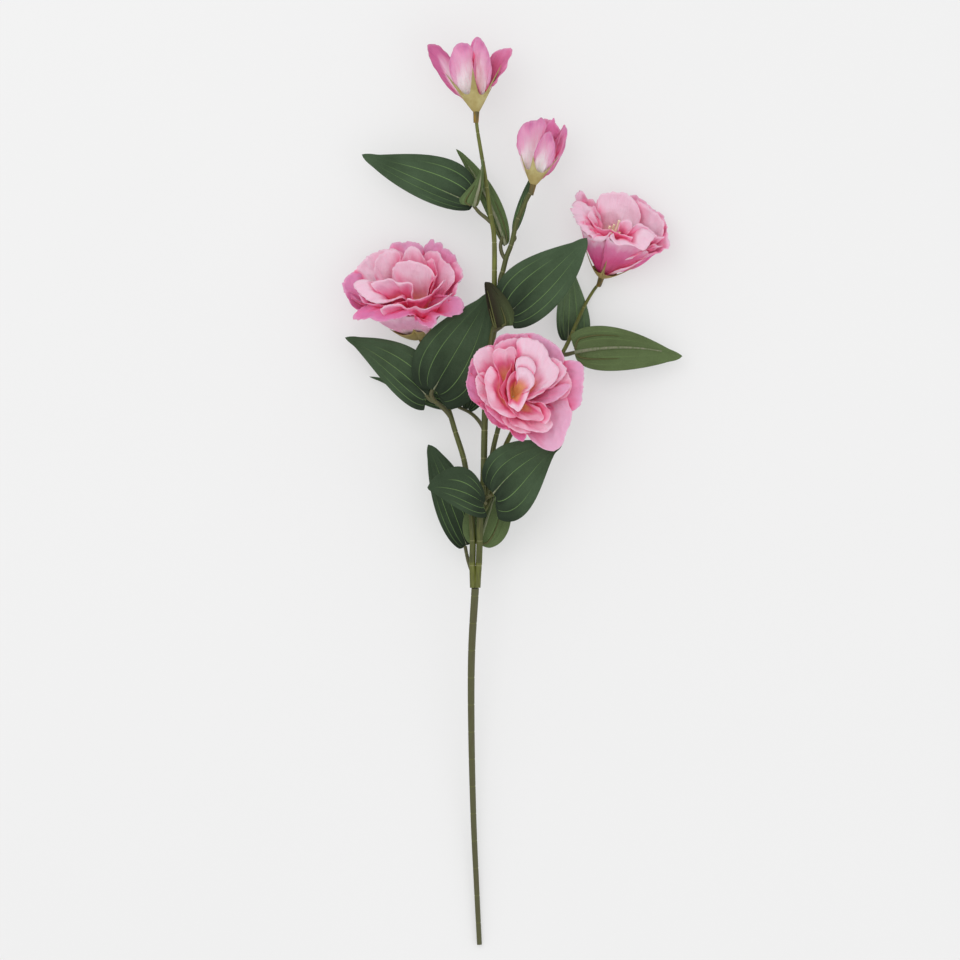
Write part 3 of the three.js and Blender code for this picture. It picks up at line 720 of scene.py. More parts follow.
LEAVES = {
    "upper_left_leaf": dict(
        base=(-31, 221, 42), tip=(-116, 260, 22), left=(12.7, 0.5, 0.8, 0.03), right=(24.5, 0.45, 1.2, 0),
        arch=4),
    "upper_left_small_leaf": dict(
        base=(-29.8, 219.5, 46.2), tip=(-23.3, 256, 48), left=(12.5, 0.25, 2.4, 0.03),
        right=(3.2, 0.15, 0.8, 0), bow=1.5, lift=(-5, 0), arch=1, under=True),
    "upper_back_leaf": dict(
        base=(-5.5, 190, 37), tip=(-43.5, 264, 27), left=(5.5, 0.55, 0.95, 0.03),
        right=(8.5, 0.5, 0.8, 0.02), bow=4, arch=-5, under=True),
    "side_bud_leaf": dict(
        base=(0.8, 199, 34.1), tip=(14, 242, 31), left=(3.6, 0.5, 0.8, 0), right=(3.6, 0.5, 0.8, 0),
        lift=(-2, -2)),
    "middle_right_leaf": dict(
        base=(-2, 138, 47.2), tip=(57, 195, 47), left=(24, 0.4, 1.15, 0.05), right=(21.5, 0.4, 0.8, 0.12),
        arch=4),
    "middle_folded_leaf": dict(
        base=(-12.5, 126, 51), tip=(-21, 161, 54), left=(3, 0.3, 0.6, 0), right=(16.5, 0.12, 0.6, 0.08),
        lift=(2, -3), under=True, brown=1.0, rib=(0.7, 0.2)),
    # Painted light: its dim below nothing pales it, lifting it out of the shade of the leaves above.
    "right_back_leaf": dict(
        base=(42.6, 117, 15.5), tip=(45.5, 177, 12), left=(9.5, 0.4, 0.8, 0.03), right=(17, 0.3, 1.2, 0.03),
        arch=-5, lift=(0, -2), dim=-0.6),
    "right_side_leaf": dict(
        base=(48, 107.5, 28.5), tip=(131, 104.8, 15), left=(17.5, 0.3, 1.2, 0.08), right=(18, 0.5, 0.85, 0),
        bow=-5, arch=5, under=True, brown=0.1),
    "left_outer_leaf": dict(
        base=(-66, 74, 31.5), tip=(-129, 119, 18), left=(16.5, 0.35, 1.2, 0.1), right=(21, 0.4, 1.0, 0.03),
        bow=3.5, arch=2, lift=(0, -3)),
    # Painted shade: its dim darkens its upper face for the shade of the folded leaf above it.
    "left_heart_leaf": dict(
        base=(-61, 78.5, 34), tip=(-16.5, 154, 41), left=(27.5, 0.5, 1.2, 0.08),
        right=(31, 0.4, 1.05, 0.12), arch=-1, lift=(-4, 0), dim=0.1),
    "left_under_leaf": dict(
        base=(-42, 67, 13), tip=(-110.5, 89, 6), left=(8, 0.55, 1.6, 0), right=(9, 0.55, 1.2, 0), arch=1),
    "centre_under_leaf": dict(
        base=(-34, 64, 25), tip=(-10, 112, 30), left=(11, 0.55, 0.95, 0.05), right=(9, 0.55, 0.95, 0.05),
        arch=2),
    "lower_left_back_leaf": dict(
        base=(-35.5, -41, 25.5), tip=(-65, 36.5, 16), left=(13, 0.45, 0.9, 0.04),
        right=(17, 0.55, 0.8, 0.02), arch=2, lift=(0, -3), dim=0.4),
    "lower_left_front_leaf": dict(
        base=(-22, -8.5, 47), tip=(-65.3, 3.4, 56), left=(14.5, 0.3, 0.9, 0.16),
        right=(18.5, 0.7, 0.7, 0.03), bow=4, arch=3, dim=0.4),
    "lower_right_leaf": dict(
        base=(-15, -1, 46.5), tip=(38, 36.5, 47), left=(22, 0.4, 0.95, 0.05), right=(31, 0.4, 1.35, 0.17),
        bow=-5, arch=4),
    "lower_back_leaf": dict(
        base=(-26, -40, 30.5), tip=(-8, 14, 28), left=(17.5, 0.45, 0.9, 0.06),
        right=(18.5, 0.45, 0.9, 0.04), arch=-2, under=True),
}

VEINS = ((-0.74, 0.6), (-0.42, 0.82), (0.0, 0.95), (0.4, 0.82), (0.72, 0.6))  # place across, and its end
VEIN_HALF_WIDTH = 0.4
VEIN_WANDER = 0.03  # per half-width
VEIN_DEPTH = 0.25
VEIN_FADE = 0.3  # of the length, before a vein's end
SIDE_VEIN = 0.7  # strength of the outermost veins, where the others have 1
LOBE_START = 0.03  # along the blade, where a lobe reaches furthest back
BLADE_ROWS = 72
ROW_CROWDING = 1.4  # more than 1 where the rows lie closer together at the base
BLADE_ENDS = (0.0006, 0.9995)  # along the blade, so that neither end is a single point
EDGE_STRIP = 0.96  # across the blade
TIP_BLUNTNESS = 0.25
FRILL = 0.045  # waves of the edge, per width
PLEAT, PLEAT_PITCH = 0.014, 0.19  # per half-width
RIPPLE = 0.02  # per half-width


def facing(leaf):
    """1 for a leaf that shows its upper face, and -1 for one that shows its underside."""
    return -1 if leaf.get("under") else 1


def side_width(place, base, tip):
    """The half-width of one side at a place along the blade, as a part of its widest, with a blunt tip."""
    peak = base / (base + tip)
    blunt = TIP_BLUNTNESS * np.sqrt(1 - place) * smooth(0.86, 0.99, place)
    return place ** base * (1 - place) ** tip / (peak ** base * (1 - peak) ** tip) + blunt


def blade_columns(half_width):
    """Places across a blade from -1 to 1, close together at the veins."""
    step = VEIN_HALF_WIDTH / half_width
    places = {-1.0, 1.0, -EDGE_STRIP, EDGE_STRIP}
    for place, _ in VEINS:
        places |= {place + step * count for count in (-2, -1, 0, 1, 2)}
    edges = [-EDGE_STRIP, *(place for place, _ in VEINS), EDGE_STRIP]
    for low, high in zip(edges, edges[1:]):
        places |= {lerp(low, high, part) for part in (0.25, 0.5, 0.75)}
    return np.array(sorted(places))


def blade_grid(leaf, sizes, rng):
    """The middle surface of a blade, and how strongly each point lies on a vein."""
    base, tip = np.array(leaf["base"], float), np.array(leaf["tip"], float)
    run = tip - base
    side = unit(np.array([run[1], -run[0], 0.0]))
    (left, *left_fullness, left_lobe), (right, *right_fullness, right_lobe) = leaf["left"], leaf["right"]
    lift_left, lift_right = leaf.get("lift", (0, 0))
    across = blade_columns(0.5 * (left + right))[:, None]
    along = (np.linspace(0, 1, BLADE_ROWS) ** ROW_CROWDING)[None, :]
    belly = 4 * along * (1 - along)
    place = np.clip(along, *BLADE_ENDS)
    width = np.where(across > 0, side_width(place, *right_fullness), side_width(place, *left_fullness))
    half = np.where(across > 0, right, left) * width
    wander = VEIN_WANDER * half * waves(rng, along, (2, 5, 9))
    wander = wander * np.sin(2.5 * np.pi * across) * (1 - across ** 2)
    sideways = across * half + wander + leaf.get("bow", 0) * belly
    frill = waves(rng, along, (3, 5, 8)) * np.abs(across) ** 3 * FRILL * (left + right) * belly
    lobe = np.where(across > 0, right_lobe, left_lobe)
    back = np.sqrt(np.clip(along / LOBE_START, 0, 1)) * (1 - along) ** 3
    forward = along - lobe * back * np.abs(across) ** 1.5
    lift = np.where(across > 0, lift_right, lift_left) * width * across ** 2
    fold = sizes.leaf_fold * (np.abs(across) - 0.5) * half * facing(leaf)
    pleat = PLEAT * half * np.cos(np.pi * across / PLEAT_PITCH)
    ripple = RIPPLE * half * waves(rng, across + 0.4 * along, (3, 4, 7))
    vein = np.zeros(np.broadcast(across, along).shape)
    step = VEIN_HALF_WIDTH / (0.5 * (left + right))
    for place, reach in VEINS:
        end = reach + rng.uniform(-0.14, 0.08)
        line = np.clip(1 - np.abs(across - place) / step, 0, 1) * (1 - smooth(end - VEIN_FADE, end, along))
        vein = np.maximum(vein, line * (1.0 if abs(place) < 0.5 else SIDE_VEIN))
    groove = VEIN_DEPTH * vein * -facing(leaf)
    height = leaf.get("arch", 0) * belly + lift + fold + (pleat + ripple) + frill + groove
    grid = base + forward[..., None] * run + sideways[..., None] * side + height[..., None] * UP
    return grid, across, along, vein


class SPRAY_OT_leaves(bpy.types.Operator):
    """Press the sixteen leaves, with veins, folds and lobes"""
    bl_idname = "spray.leaves"
    bl_label = "Leaves"

    FIRST_SEED = 100
    BROWN = 0.1  # of an underside with no more

    def execute(self, context):
        sizes, colours = context.scene.spray_sizes, context.scene.spray_colours
        fabric = shared(leaf_fabric, "pressed_leaf", colours)
        for seed, (node, leaf) in enumerate(LEAVES.items(), self.FIRST_SEED):
            grid, across, along, vein = blade_grid(leaf, sizes, np.random.default_rng(seed))
            grid, across, vein = (values[::facing(leaf)] for values in (grid, across, vein))
            brown = leaf.get("brown", self.BROWN) * (1 - 0.6 * smooth(0.0, 0.8, across) * (1 - along))
            cloth = Cloth()
            cloth.add(grid, 0.5 + 0.5 * across, along, sizes.leaf_thickness, vein=vein, outer=brown,
                      tone=leaf.get("dim", 0.0))
            finish_piece(cloth.build(node.replace("leaf", "leaf_blade"), fabric), "leaf_fabric", node)
        return {"FINISHED"}


RIB_END, SIDE_RIB_END = 0.8, 0.42  # along the blade
RIB_RADII, UNDER_RIB_RADII, SIDE_RIB_RADII = (1.15, 0.35), (1.5, 0.4), (0.9, 0.2)
SIDE_RIBS = (-0.56, 0.5)  # across the blade
RIB_POINTS = 9
RIB_GAP = 0.55  # from the middle of a rib to the face of its leaf


def rib_route(leaf, sizes, across, end):
    """A line just off the underside of a leaf, from its petiole along one place across it."""
    grid, columns, along, _ = blade_grid(leaf, sizes, np.random.default_rng(0))
    column = np.argmin(np.abs(columns[:, 0] - across))
    offset = -facing(leaf) * (0.5 * sizes.leaf_thickness + RIB_GAP)
    picked = [np.argmin(np.abs(along[0] - place)) for place in np.linspace(0, end, RIB_POINTS)]
    return [grid[column, index] + UP * offset for index in picked]


class SPRAY_OT_leaf_ribs(bpy.types.Operator):
    """Mould the rib that carries each leaf along its underside"""
    bl_idname = "spray.leaf_ribs"
    bl_label = "Leaf ribs"

    def execute(self, context):
        sizes, colours = context.scene.spray_sizes, context.scene.spray_colours
        plastic = shared(stem_plastic, "moulded_rib", colours.rib, colours.leaf_under_shade, colours.rib)
        brown = shared(stem_plastic, "moulded_side_rib", colours.side_rib, colours.stem_shade, colours.rib)
        tree = stem_tree()
        for node, leaf in LEAVES.items():
            under = leaf.get("under")
            route = rib_route(leaf, sizes, 0, RIB_END)
            radii = leaf.get("rib", UNDER_RIB_RADII if under else RIB_RADII)
            material = brown if leaf.get("brown", 0.0) > 0.5 else plastic
            piece = swept(f"{node}_moulded_rib", [(route, radii)], tree, sizes, material, grooved=False)
            finish_piece(piece, "leaf_rib_plastic", *([f"{node}_rib"] if under else []))
            if under:
                routes = [rib_route(leaf, sizes, across, SIDE_RIB_END) for across in SIDE_RIBS]
                tubes = [(route, SIDE_RIB_RADII) for route in routes]
                piece = swept(f"{node}_side_ribs", tubes, tree, sizes, brown, grooved=False)
                finish_piece(piece, "leaf_rib_plastic")
        return {"FINISHED"}


# Flowers. A head stands at its base, in millimetres, and opens along its axis. Its petals' rims are
# measured from its middle as seen from above, which is that far from the base.

HEADS = {
    "left_flower": ((-70.5, 119, 10.5), (-0.25, 0.78, 0.57), (0, 0)),
    "front_flower": ((-2.5, 70.5, 52), (0.24, 0.16, 1.0), (2.5, 4.5)),
    "right_flower": ((68.7, 165.9, 9.2), (0.26, 0.83, 0.5), (0, 0)),
    "leading_bud": ((-28, 291.6, 40), (0.02, 1.0, 0.02), (0, 0)),
    "side_bud": ((15.8, 236, 38), (0.24, 1.0, 0.02), (0, 0)),
}


def head_frame(head):
    """A head's base, the unit vector along its axis, and its middle."""
    base, axis, middle = HEADS[head]
    return np.array(base, float), unit(np.array(axis, float)), middle


# How a petal runs from its foot to its rim: two handles, each as parts of the way outwards and of the way
# up, and the width of the lip that turns out below the rim, in millimetres.
SHAPES = {
    "spread": ((0.4, 0.12), (0.74, 0.85), 0.5),
    "flare": ((0.3, 0.25), (0.6, 0.92), 1.0),
    "dome": ((0.2, 0.45), (0.5, 1.0), 0.5),
    "shelf": ((0.15, 0.6), (0.35, 1.2), 0.5),
    "cone": ((0.42, 0.3), (0.8, 0.65), 0.0),
    "lean": ((0.3, 0.3), (0.68, 0.72), 1.6),
    "cup": ((0.42, 0.15), (0.85, 0.55), 2.6),
    "roll": ((0.25, 0.5), (0.55, 1.12), 1.0),
    "fan": ((0.42, 0.15), (0.85, 0.55), 2.0),
    "rolled_cone": ((0.42, 0.45), (0.8, 1.45), 3.4),
    "strip": ((0.5, 0.3), (0.35, 1.35), 0.0),
}

# Petals of each head: shape, height of the rim at its two ends, tone, ruffle, then points of the rim.
# Heights are from the head's base and points from its middle, in millimetres. tone is 0 for a pale petal,
# 1 for a lilac one and 2 for a magenta one, and less than nothing where the lower face is dyed deep pink.
# ruffle is how crumpled the petal is.

PETALS = {
    "front_flower": {
        "outer_petals": [
            ("spread", 17, 18, 1.0, 0.9,
             [(-15, 36), (-13.7, 41), (-10.2, 44.4), (-5.2, 46.3), (1, 45.6), (7, 46), (12, 44)]),
            ("spread", 18, 17, 0.9, 1.0,
             [(1, 43), (7, 46), (16.7, 46.5), (22.4, 44), (29.4, 40.2), (35, 35.7), (38.6, 30.3),
              (39, 24)]),
            ("spread", 15, 15, 1.0, 1.3,
             [(38, 25), (42, 26), (46.4, 25.7), (52, 24), (54.5, 19), (54.2, 9), (53.5, 0.6), (52, -8.6),
              (46.4, -12.2), (43, -12)]),
            ("spread", 17, 18, 0.7, 0.8,
             [(39, 2), (43.6, -9.3), (45.7, -15), (44.3, -22), (40.7, -30.6), (38, -39), (32.3, -43.3),
              (25.2, -42.6), (18.1, -39), (12.5, -33.4), (8, -28)]),
            ("spread", 20, 20, 1.8, 0.8,
             [(11, -29), (10.3, -33.4), (8, -36.5), (3.5, -35), (0, -31), (-4.5, -25)]),
            ("spread", 17, 16, 1.5, 1.3,
             [(-1, -27), (-6, -28), (-11.6, -25), (-17.3, -20.7), (-21.5, -13.6), (-25, -8)]),
            ("spread", 16, 17, 1.3, 1.3,
             [(-23, -12), (-25.8, -9.3), (-32, -3.7), (-35, 3.4), (-35.7, 9), (-34, 15), (-33, 21),
              (-29, 26)]),
            ("spread", 15, 16, 0.8, 1.0,
             [(-33, 17), (-32, 25), (-29.5, 29), (-27, 33), (-22, 36), (-15, 37)]),
        ],
        "middle_petals": [
            ("flare", 23, 23, 0.1, 0.8,
             [(-23, 9), (-27, 15), (-29.5, 22), (-30, 28), (-27, 33), (-21.5, 36), (-15, 35)]),
            ("flare", 22, 23, 0.4, 1.0, [(-15, 33), (-11, 39), (-3, 42), (3, 42.5), (9, 38)]),
            ("flare", 22, 23, -0.6, 1.1,
             [(-15, -12), (-21, -7), (-26, -1), (-28, 6), (-28, 13), (-23, 17)]),
            ("flare", 21, 21, 1.0, 1.2, [(-2, -24), (-8, -23), (-13, -19), (-19, -13), (-22, -5)]),
            ("flare", 25, 23, 0.1, 1.2,
             [(28.7, 27.4), (35, 26), (38.6, 22.5), (41.5, 18.3), (39.3, 13.3), (36.5, 10.5), (30, 5)]),
            ("lean", 20, 20, -0.7, 0.8, [(40, 18), (43.5, 13), (45, 8), (44, 2), (40, -3)]),
            ("lean", 24, 25, 0.9, 0.7,
             [(44, 7), (41.5, 2), (35, -3.7), (26.6, -7.6), (18.1, -7.6), (13, -5)]),
            ("lean", 25, 25, 0.0, 0.9,
             [(30, -21), (29.4, -25.5), (23.8, -29.9), (16.7, -29.1), (6.8, -26.3), (-1.7, -22),
              (-6, -15)]),
            ("flare", 22, 22, -0.8, 0.9, [(14, -29), (6, -30), (-2, -26), (-8, -20)]),
        ],
        "inner_petals": [
            ("lean", 30, 30, 0.0, 0.8,
             [(2, -18), (-3.1, -18.1), (-10.2, -15.3), (-15.8, -10.8), (-18.7, -4.4), (-20.4, 1.3),
              (-21.5, 8.3), (-20.8, 14.7), (-17, 21)]),
            ("dome", 28, 28, 0.0, 1.0,
             [(3.3, 31), (2.5, 38), (5.4, 43), (12.5, 42.3), (18.1, 41.3), (23, 37.4), (26.6, 32.8),
              (28, 26.7), (33, 22.5), (35.4, 18.3), (34.8, 14), (30.8, 7.6), (25.2, 2.7), (19.5, -0.8),
              (14.1, -4)]),
            ("cup", 29, 31, 0.0, 0.7,
             [(-10.5, 2), (-9.8, 9), (-10.2, 14.7), (-13.7, 21.8), (-15.1, 28.9), (-14.1, 32.4),
              (-10.2, 34.5), (-5.9, 34.1), (-3.8, 35.9), (-0.3, 36.2), (2.5, 33.8), (2.8, 29.6),
              (1.4, 26)]),
            ("cup", 27, 29, 0.0, 0.7, [(15, -6), (21, -7), (26, -9), (28.7, -13), (28, -18.4), (25, -23)]),
            ("cup", 28, 30, 0.0, 0.7,
             [(21, -12), (23.8, -16.4), (22.4, -20), (15.3, -20.7), (9.6, -20), (2.5, -16.4), (-3, -10.8),
              (-8, -3.7), (-10.5, 2)]),
            ("strip", 32, 32, 0.0, 0.5,
             [(2, 20), (2.5, 25.3), (5.4, 28.2), (9.6, 28.9), (14.1, 26.7), (17.4, 22.5), (17.4, 17)]),
            ("cup", 31, 31, 0.0, 0.5,
             [(-3, -10), (-6.8, -4.6), (-8.8, 2), (-7.8, 7.9), (-4.9, 13.8), (-2, 18.8), (-0.9, 23.6)]),
            ("cup", 33, 33, 0.0, 0.3,
             [(-2, -9), (-4, -2.3), (-4.7, 4.8), (-3.4, 11.6), (0, 16.1), (5, 18.7)]),
            ("strip", 36, 36, 0.0, 0.3,
             [(3.5, 19), (4.7, 20.1), (9.3, 20.1), (12.7, 18.1), (15.3, 14.7), (16.7, 10.5), (16.1, 6.5),
              (12.7, 3)]),
            ("dome", 35, 33, 0.0, 0.2,
             [(13.5, 5), (12, 0), (9.3, -6.5), (4.7, -13.6), (0.8, -11.5), (-3, -9)]),
        ],
    },
    "left_flower": {
        "outer_petals": [
            ("cone", 24, 33, 0.0, 0.7, [(-33, 13), (-27, 14), (-19, 15), (-10, 16), (-2, 15), (7, 12)]),
            ("spread", 2, 2, 1.0, 1.5,
             [(-26, 64), (-22, 72.9), (-14.9, 73.4), (-9.2, 74.6), (-2.1, 72.9), (1.4, 69.6), (3, 64)]),
            ("spread", 2, 10, 1.1, 1.6,
             [(1, 67), (5.7, 74.6), (9.2, 76.3), (11.3, 72.9), (15.6, 73.4), (17.7, 68.9), (20.5, 68.2),
              (24.8, 64.7), (27.6, 60.4), (27.6, 54)]),
            ("spread", 14, 28, 0.5, 1.4,
             [(25, 58), (30.4, 54.8), (32.8, 47.7), (30.4, 44.9), (28.3, 39.2), (26.2, 34.2), (24, 29)]),
            ("shelf", 28, 40, 1.2, 1.3,
             [(20, 32), (24.8, 30.7), (29.3, 30.7), (32.1, 27.6), (33.2, 22.9), (30.7, 18.3), (26.2, 17.3),
              (21.9, 14.4), (16.3, 15.8), (13.4, 15.1), (11.3, 10.9), (7.8, 7.4), (2.1, 8.1), (-2, 11.5)]),
            ("shelf", 41, 33, 1.7, 1.5,
             [(-8, 17), (-12, 15.4), (-19.1, 14.4), (-24.8, 12.3), (-30.4, 11.3), (-36, 13), (-42.4, 13.9),
              (-48.8, 13.3), (-52.3, 14.9), (-50, 19), (-43, 22)]),
            ("spread", 20, 8, 1.3, 1.3,
             [(-54, 30), (-59, 35), (-60.4, 40.6), (-59.4, 44), (-56, 48), (-51, 51), (-46, 53)]),
            ("cone", 30, 20, 1.8, 0.6,
             [(-40, 19), (-43.2, 19), (-47.4, 20.8), (-53, 25), (-57.3, 31.1), (-57, 36)]),
        ],
        "middle_petals": [
            ("lean", 12, 10, 0.0, 1.2,
             [(-48, 44), (-50, 47.7), (-51, 52), (-47.4, 56), (-42.4, 61.8), (-37.5, 64.7), (-30.4, 67.5),
              (-23.3, 68.5), (-16.3, 66.8), (-12, 61)]),
            ("lean", 12, 27, 0.2, 1.1,
             [(2, 62), (3.5, 65.4), (10.6, 66.8), (14.9, 64.7), (17.7, 59), (22.6, 55.5), (25.5, 49),
              (24.8, 42), (19.1, 33.5), (14.9, 28.6)]),
            ("lean", 41, 43, -0.5, 1.0,
             [(24.8, 34.9), (19.1, 29.3), (13.4, 25.7), (6.4, 22.9), (0.7, 21.5), (-3.5, 22.9),
              (-9.2, 21.5), (-13.4, 23.6), (-17.7, 25.7), (-23.3, 25), (-29.7, 22.9), (-31.1, 20.1)]),
            ("roll", 37, 33, 0.0, 0.8,
             [(-14, 30), (-24.8, 26.5), (-33.2, 25.7), (-40.3, 27.9), (-47.4, 33.5), (-51.6, 39.2),
              (-50, 42)]),
            ("lean", 39, 34, 1.1, 0.7,
             [(-7, 29.5), (-9.2, 28.6), (-16.3, 26.5), (-23.3, 25), (-31.8, 24.3), (-43.2, 27.2),
              (-48, 33)]),
        ],
        "inner_petals": [
            ("cup", 24, 22, 0.0, 1.0,
             [(-36, 48), (-36, 54.8), (-35.4, 59), (-31.8, 63.2), (-26.2, 66.8), (-19.1, 66.8),
              (-16.3, 63.2), (-16, 56)]),
            ("cup", 22, 22, 0.0, 0.8,
             [(-18, 52), (-15.5, 59), (-13.4, 63.1), (-9.3, 69.2), (-5.3, 69.6), (0.2, 65.8), (2.9, 60.4),
              (3, 54)]),
            ("fan", 28, 30, 0.0, 0.8,
             [(-20, 40), (-21.8, 46.2), (-21.8, 52.3), (-19.5, 55.6), (-16.1, 57.7), (-11.4, 58.8),
              (-5.3, 58.9), (1.5, 56.6), (6.3, 53.6), (9.6, 48.9), (10, 42.8), (7.6, 36)]),
            ("cup", 23, 30, 0.1, 1.2,
             [(4, 56), (5, 59), (9.2, 59.7), (12, 56.2), (11.3, 50.5), (9.2, 44.8), (5.7, 35)]),
            ("lean", 40, 38, 0.0, 0.8,
             [(-7, 33), (-6.4, 39.9), (-9.2, 42.3), (-17.7, 42), (-23.3, 44.6), (-27.6, 44.1), (-38, 41)]),
            ("lean", 37, 43, -0.9, 0.7, [(19, 44), (13, 38), (9, 33), (3, 30), (-3, 29), (-10, 29)]),
        ],
    },
    "right_flower": {
        "outer_petals": [
            ("cone", 22, 34, -1.0, 0.35,
             [(-16, 38), (-14.5, 34.3), (-11.9, 30.8), (-9.1, 28.6), (-3.4, 27.1), (2.2, 27.4), (6.4, 29),
              (6.8, 31)]),
            ("rolled_cone", 22.8, 34.8, 0.0, 0.2,
             [(-14.5, 34), (-12, 30.4), (-9.1, 28), (-3.4, 26.5), (0.6, 26.6), (3, 28)]),
            ("cone", 39, 15, -0.9, 0.35,
             [(4.6, 30.5), (6, 28), (10, 25.5), (17, 25), (24, 24.5), (31, 21.5), (36, 18), (33, 14.5),
              (28, 11), (22, 8), (15, 6)]),
            ("spread", 2, 6, 0.4, 1.6,
             [(19, 60), (21.6, 62.5), (25.6, 63.2), (28.8, 61.2), (32.1, 59.3), (36.1, 56.6), (40, 52.7),
              (44.6, 50), (47.9, 46.8), (48.2, 42.8), (48, 36)]),
            ("spread", 12, 26, 0.4, 1.6,
             [(46, 46), (50.5, 38.9), (50.8, 34.3), (51.8, 28.4), (51.8, 23.1), (48, 21), (43, 18)]),
            ("spread", 2, 8, 0.3, 2.0,
             [(-4, 55), (-6, 60), (-10.6, 60.6), (-13.9, 64.5), (-17.8, 66.1), (-19.8, 63.2), (-19.4, 58),
              (-21, 54)]),
            ("shelf", 12, 30, 0.1, 1.9,
             [(-19, 58), (-23, 54), (-23.3, 50), (-21, 45.5), (-19.8, 42.2), (-17.8, 40.2), (-15.2, 35.6),
              (-12.5, 33), (-9, 31)]),
            ("shelf", 37, 30, 0.0, 0.6,
             [(6, 29), (9, 25), (12.4, 23.1), (17.7, 23.8), (24.2, 23.1), (32.1, 19.6), (37, 25),
              (41.3, 31.7)]),
            ("lean", 9, 0, 1.9, 0.8,
             [(50, 25), (45, 21), (41, 17), (36, 13), (32, 10), (24, 5.5), (19, 4.5), (12, 4)]),
            ("lean", 18, 6, 1.5, 1.0, [(51.5, 28), (49, 24), (45, 21.5), (41, 20), (36, 15.5), (31, 12)]),
        ],
        "middle_petals": [
            ("cup", 10, 22, 0.1, 1.3,
             [(24, 58), (30, 58), (38, 52), (44, 47), (48, 41), (48, 35), (46, 29), (41, 30)]),
            ("lean", 30, 32, 0.1, 1.0, [(48, 30), (43, 31), (38, 35), (33, 39), (27, 40)]),
            ("lean", 30, 27, -0.9, 0.9, [(47, 24), (43, 23.5), (40, 24), (36, 22), (31, 18)]),
            ("cup", 6, 8, 0.0, 1.2, [(-1, 51), (-5, 58), (-10, 60), (-12.5, 55), (-13, 48), (-14, 43)]),
            ("lean", 12, 24, 0.0, 1.1, [(-4, 54), (-9, 53), (-11.5, 49), (-13, 44), (-14, 39)]),
        ],
        "inner_petals": [
            ("fan", 12, 16, 0.0, 1.0,
             [(-2.7, 49), (-3.1, 57), (-0.7, 63.2), (4.5, 64.8), (12.4, 65.2), (17.7, 64.5), (21.6, 62.5),
              (25.6, 58.6), (28.8, 53.4), (30.2, 47.4), (29.5, 42.2), (26.2, 37)]),
            ("lean", 33, 22, 0.0, 0.9,
             [(24, 30.5), (19, 31), (11.1, 33.6), (5.8, 35.9), (-0.7, 36.5), (-6, 39.6), (-9.3, 43.5),
              (-10.6, 46.8), (-8, 51)]),
            ("cup", 29, 29, 0.1, 0.4,
             [(13, 36), (14, 41), (17, 43.2), (21, 43.5), (23, 40.9), (22.3, 36), (19.6, 33)]),
        ],
    },
    "leading_bud": {
        "outer_petals": [
            ("lean", -6, 3, -0.9, 0.8,
             [(-22, 20), (-28, 28), (-34, 38), (-37, 46), (-36.5, 52.5), (-29, 51.6), (-25, 48),
              (-20, 42)]),
            ("lean", -5, 9, 0.0, 0.8,
             [(12, 36), (12, 44), (15, 47), (20, 49), (27.7, 49), (27, 43.7), (25, 39.5), (22.7, 33),
              (18.6, 28)]),
            ("lean", -4, -5, 1.7, 0.8,
             [(-6, 40), (-5, 48), (-3, 55), (1, 58.5), (4, 55), (8.5, 47), (9, 40)]),
        ],
        "inner_petals": [
            ("cup", 7, 11, 0.0, 0.8,
             [(-10, 12), (-13.5, 16), (-17, 22), (-20.3, 30.6), (-20.7, 38.2), (-18, 47.2), (-14.2, 52.6),
              (-7.4, 52.6), (-3.6, 49.5), (-1.5, 42.7), (-1, 35), (-0.8, 24), (-1.5, 14)]),
            ("cup", 12, 8, 0.0, 0.8,
             [(3.5, 12), (1, 21), (-1.6, 29), (-2.6, 37), (-3.4, 45), (-1.2, 53), (1.4, 57.8), (5, 54.5),
              (9, 47.5), (11.2, 39.7), (11.8, 29), (10, 21.5), (6.5, 14)]),
        ],
    },
    "side_bud": {
        "outer_petals": [
            ("cup", -3, 8, 0.0, 0.8,
             [(-7, 19), (-11, 25.5), (-12.3, 32), (-11.8, 39.6), (-8, 46.3), (-3, 49), (2.8, 49.6),
              (5.3, 51.6), (9, 49.5), (10.3, 45), (6, 37)]),
            ("cup", 13, 11, 0.0, 0.8,
             [(2.5, 9), (1.5, 16), (1.1, 24), (3.4, 30.1), (7.9, 37.7), (12.5, 40.7), (15.5, 36.2),
              (17, 28.6), (16.3, 21), (14, 12), (11, 8)]),
            ("cup", -2, 4, 0.0, 0.8,
             [(17, 26), (18, 34), (20, 40), (24, 46.6), (25.4, 42), (24, 35.5), (22, 27)]),
            ("cup", 10, -3, 0.0, 0.8,
             [(15.5, 12), (16.6, 19), (18.3, 30), (20.8, 37.5), (23.7, 44.5), (26, 43), (25.8, 36),
              (24, 27), (20, 19), (16, 12)]),
        ],
        "inner_petals": [
            ("cup", -5, -6, 0.2, 0.8, [(-4, 44), (2, 49), (8, 51), (14, 50), (18, 46), (20, 38)]),
            ("cup", 6, -2, 1.7, 0.8,
             [(8, 42), (11, 47), (14, 50), (16, 51.5), (17.5, 47), (20, 44), (22, 36)]),
        ],
    },
}

PETAL_ROWS = 49  # points along the rim
PETAL_COLUMNS = 31  # points from foot to rim
FOOT_HALF_WIDTH = 1.8
FOOT_STEP = 0.35  # between the feet of successive petals, along the axis
CORNER_DROP = 0.2  # part of the way back to the foot
CORNER_REACH = 2.2
LIP_LIMIT = 0.3  # widest lip, per distance from the axis
CLOSED_LENGTH = 32.0  # a bud's rim has its own height from this far along the bud
TEAR, FINE_TEAR = 0.02, 0.05  # how far the rim is torn, per length of the petal
BROAD_WAVE, PUFF, CREASE = 1.5, 0.35, 1.1  # millimetres in a petal with a ruffle of 1
CRUMPLE_LENGTHS = (5.0, 6.5, 8.0, 10.0, 13.0)  # from crease to crease
PLEAT_HEIGHT = 0.2
PLEATS = {"fan": 0.9}  # where the pleats are higher than usual


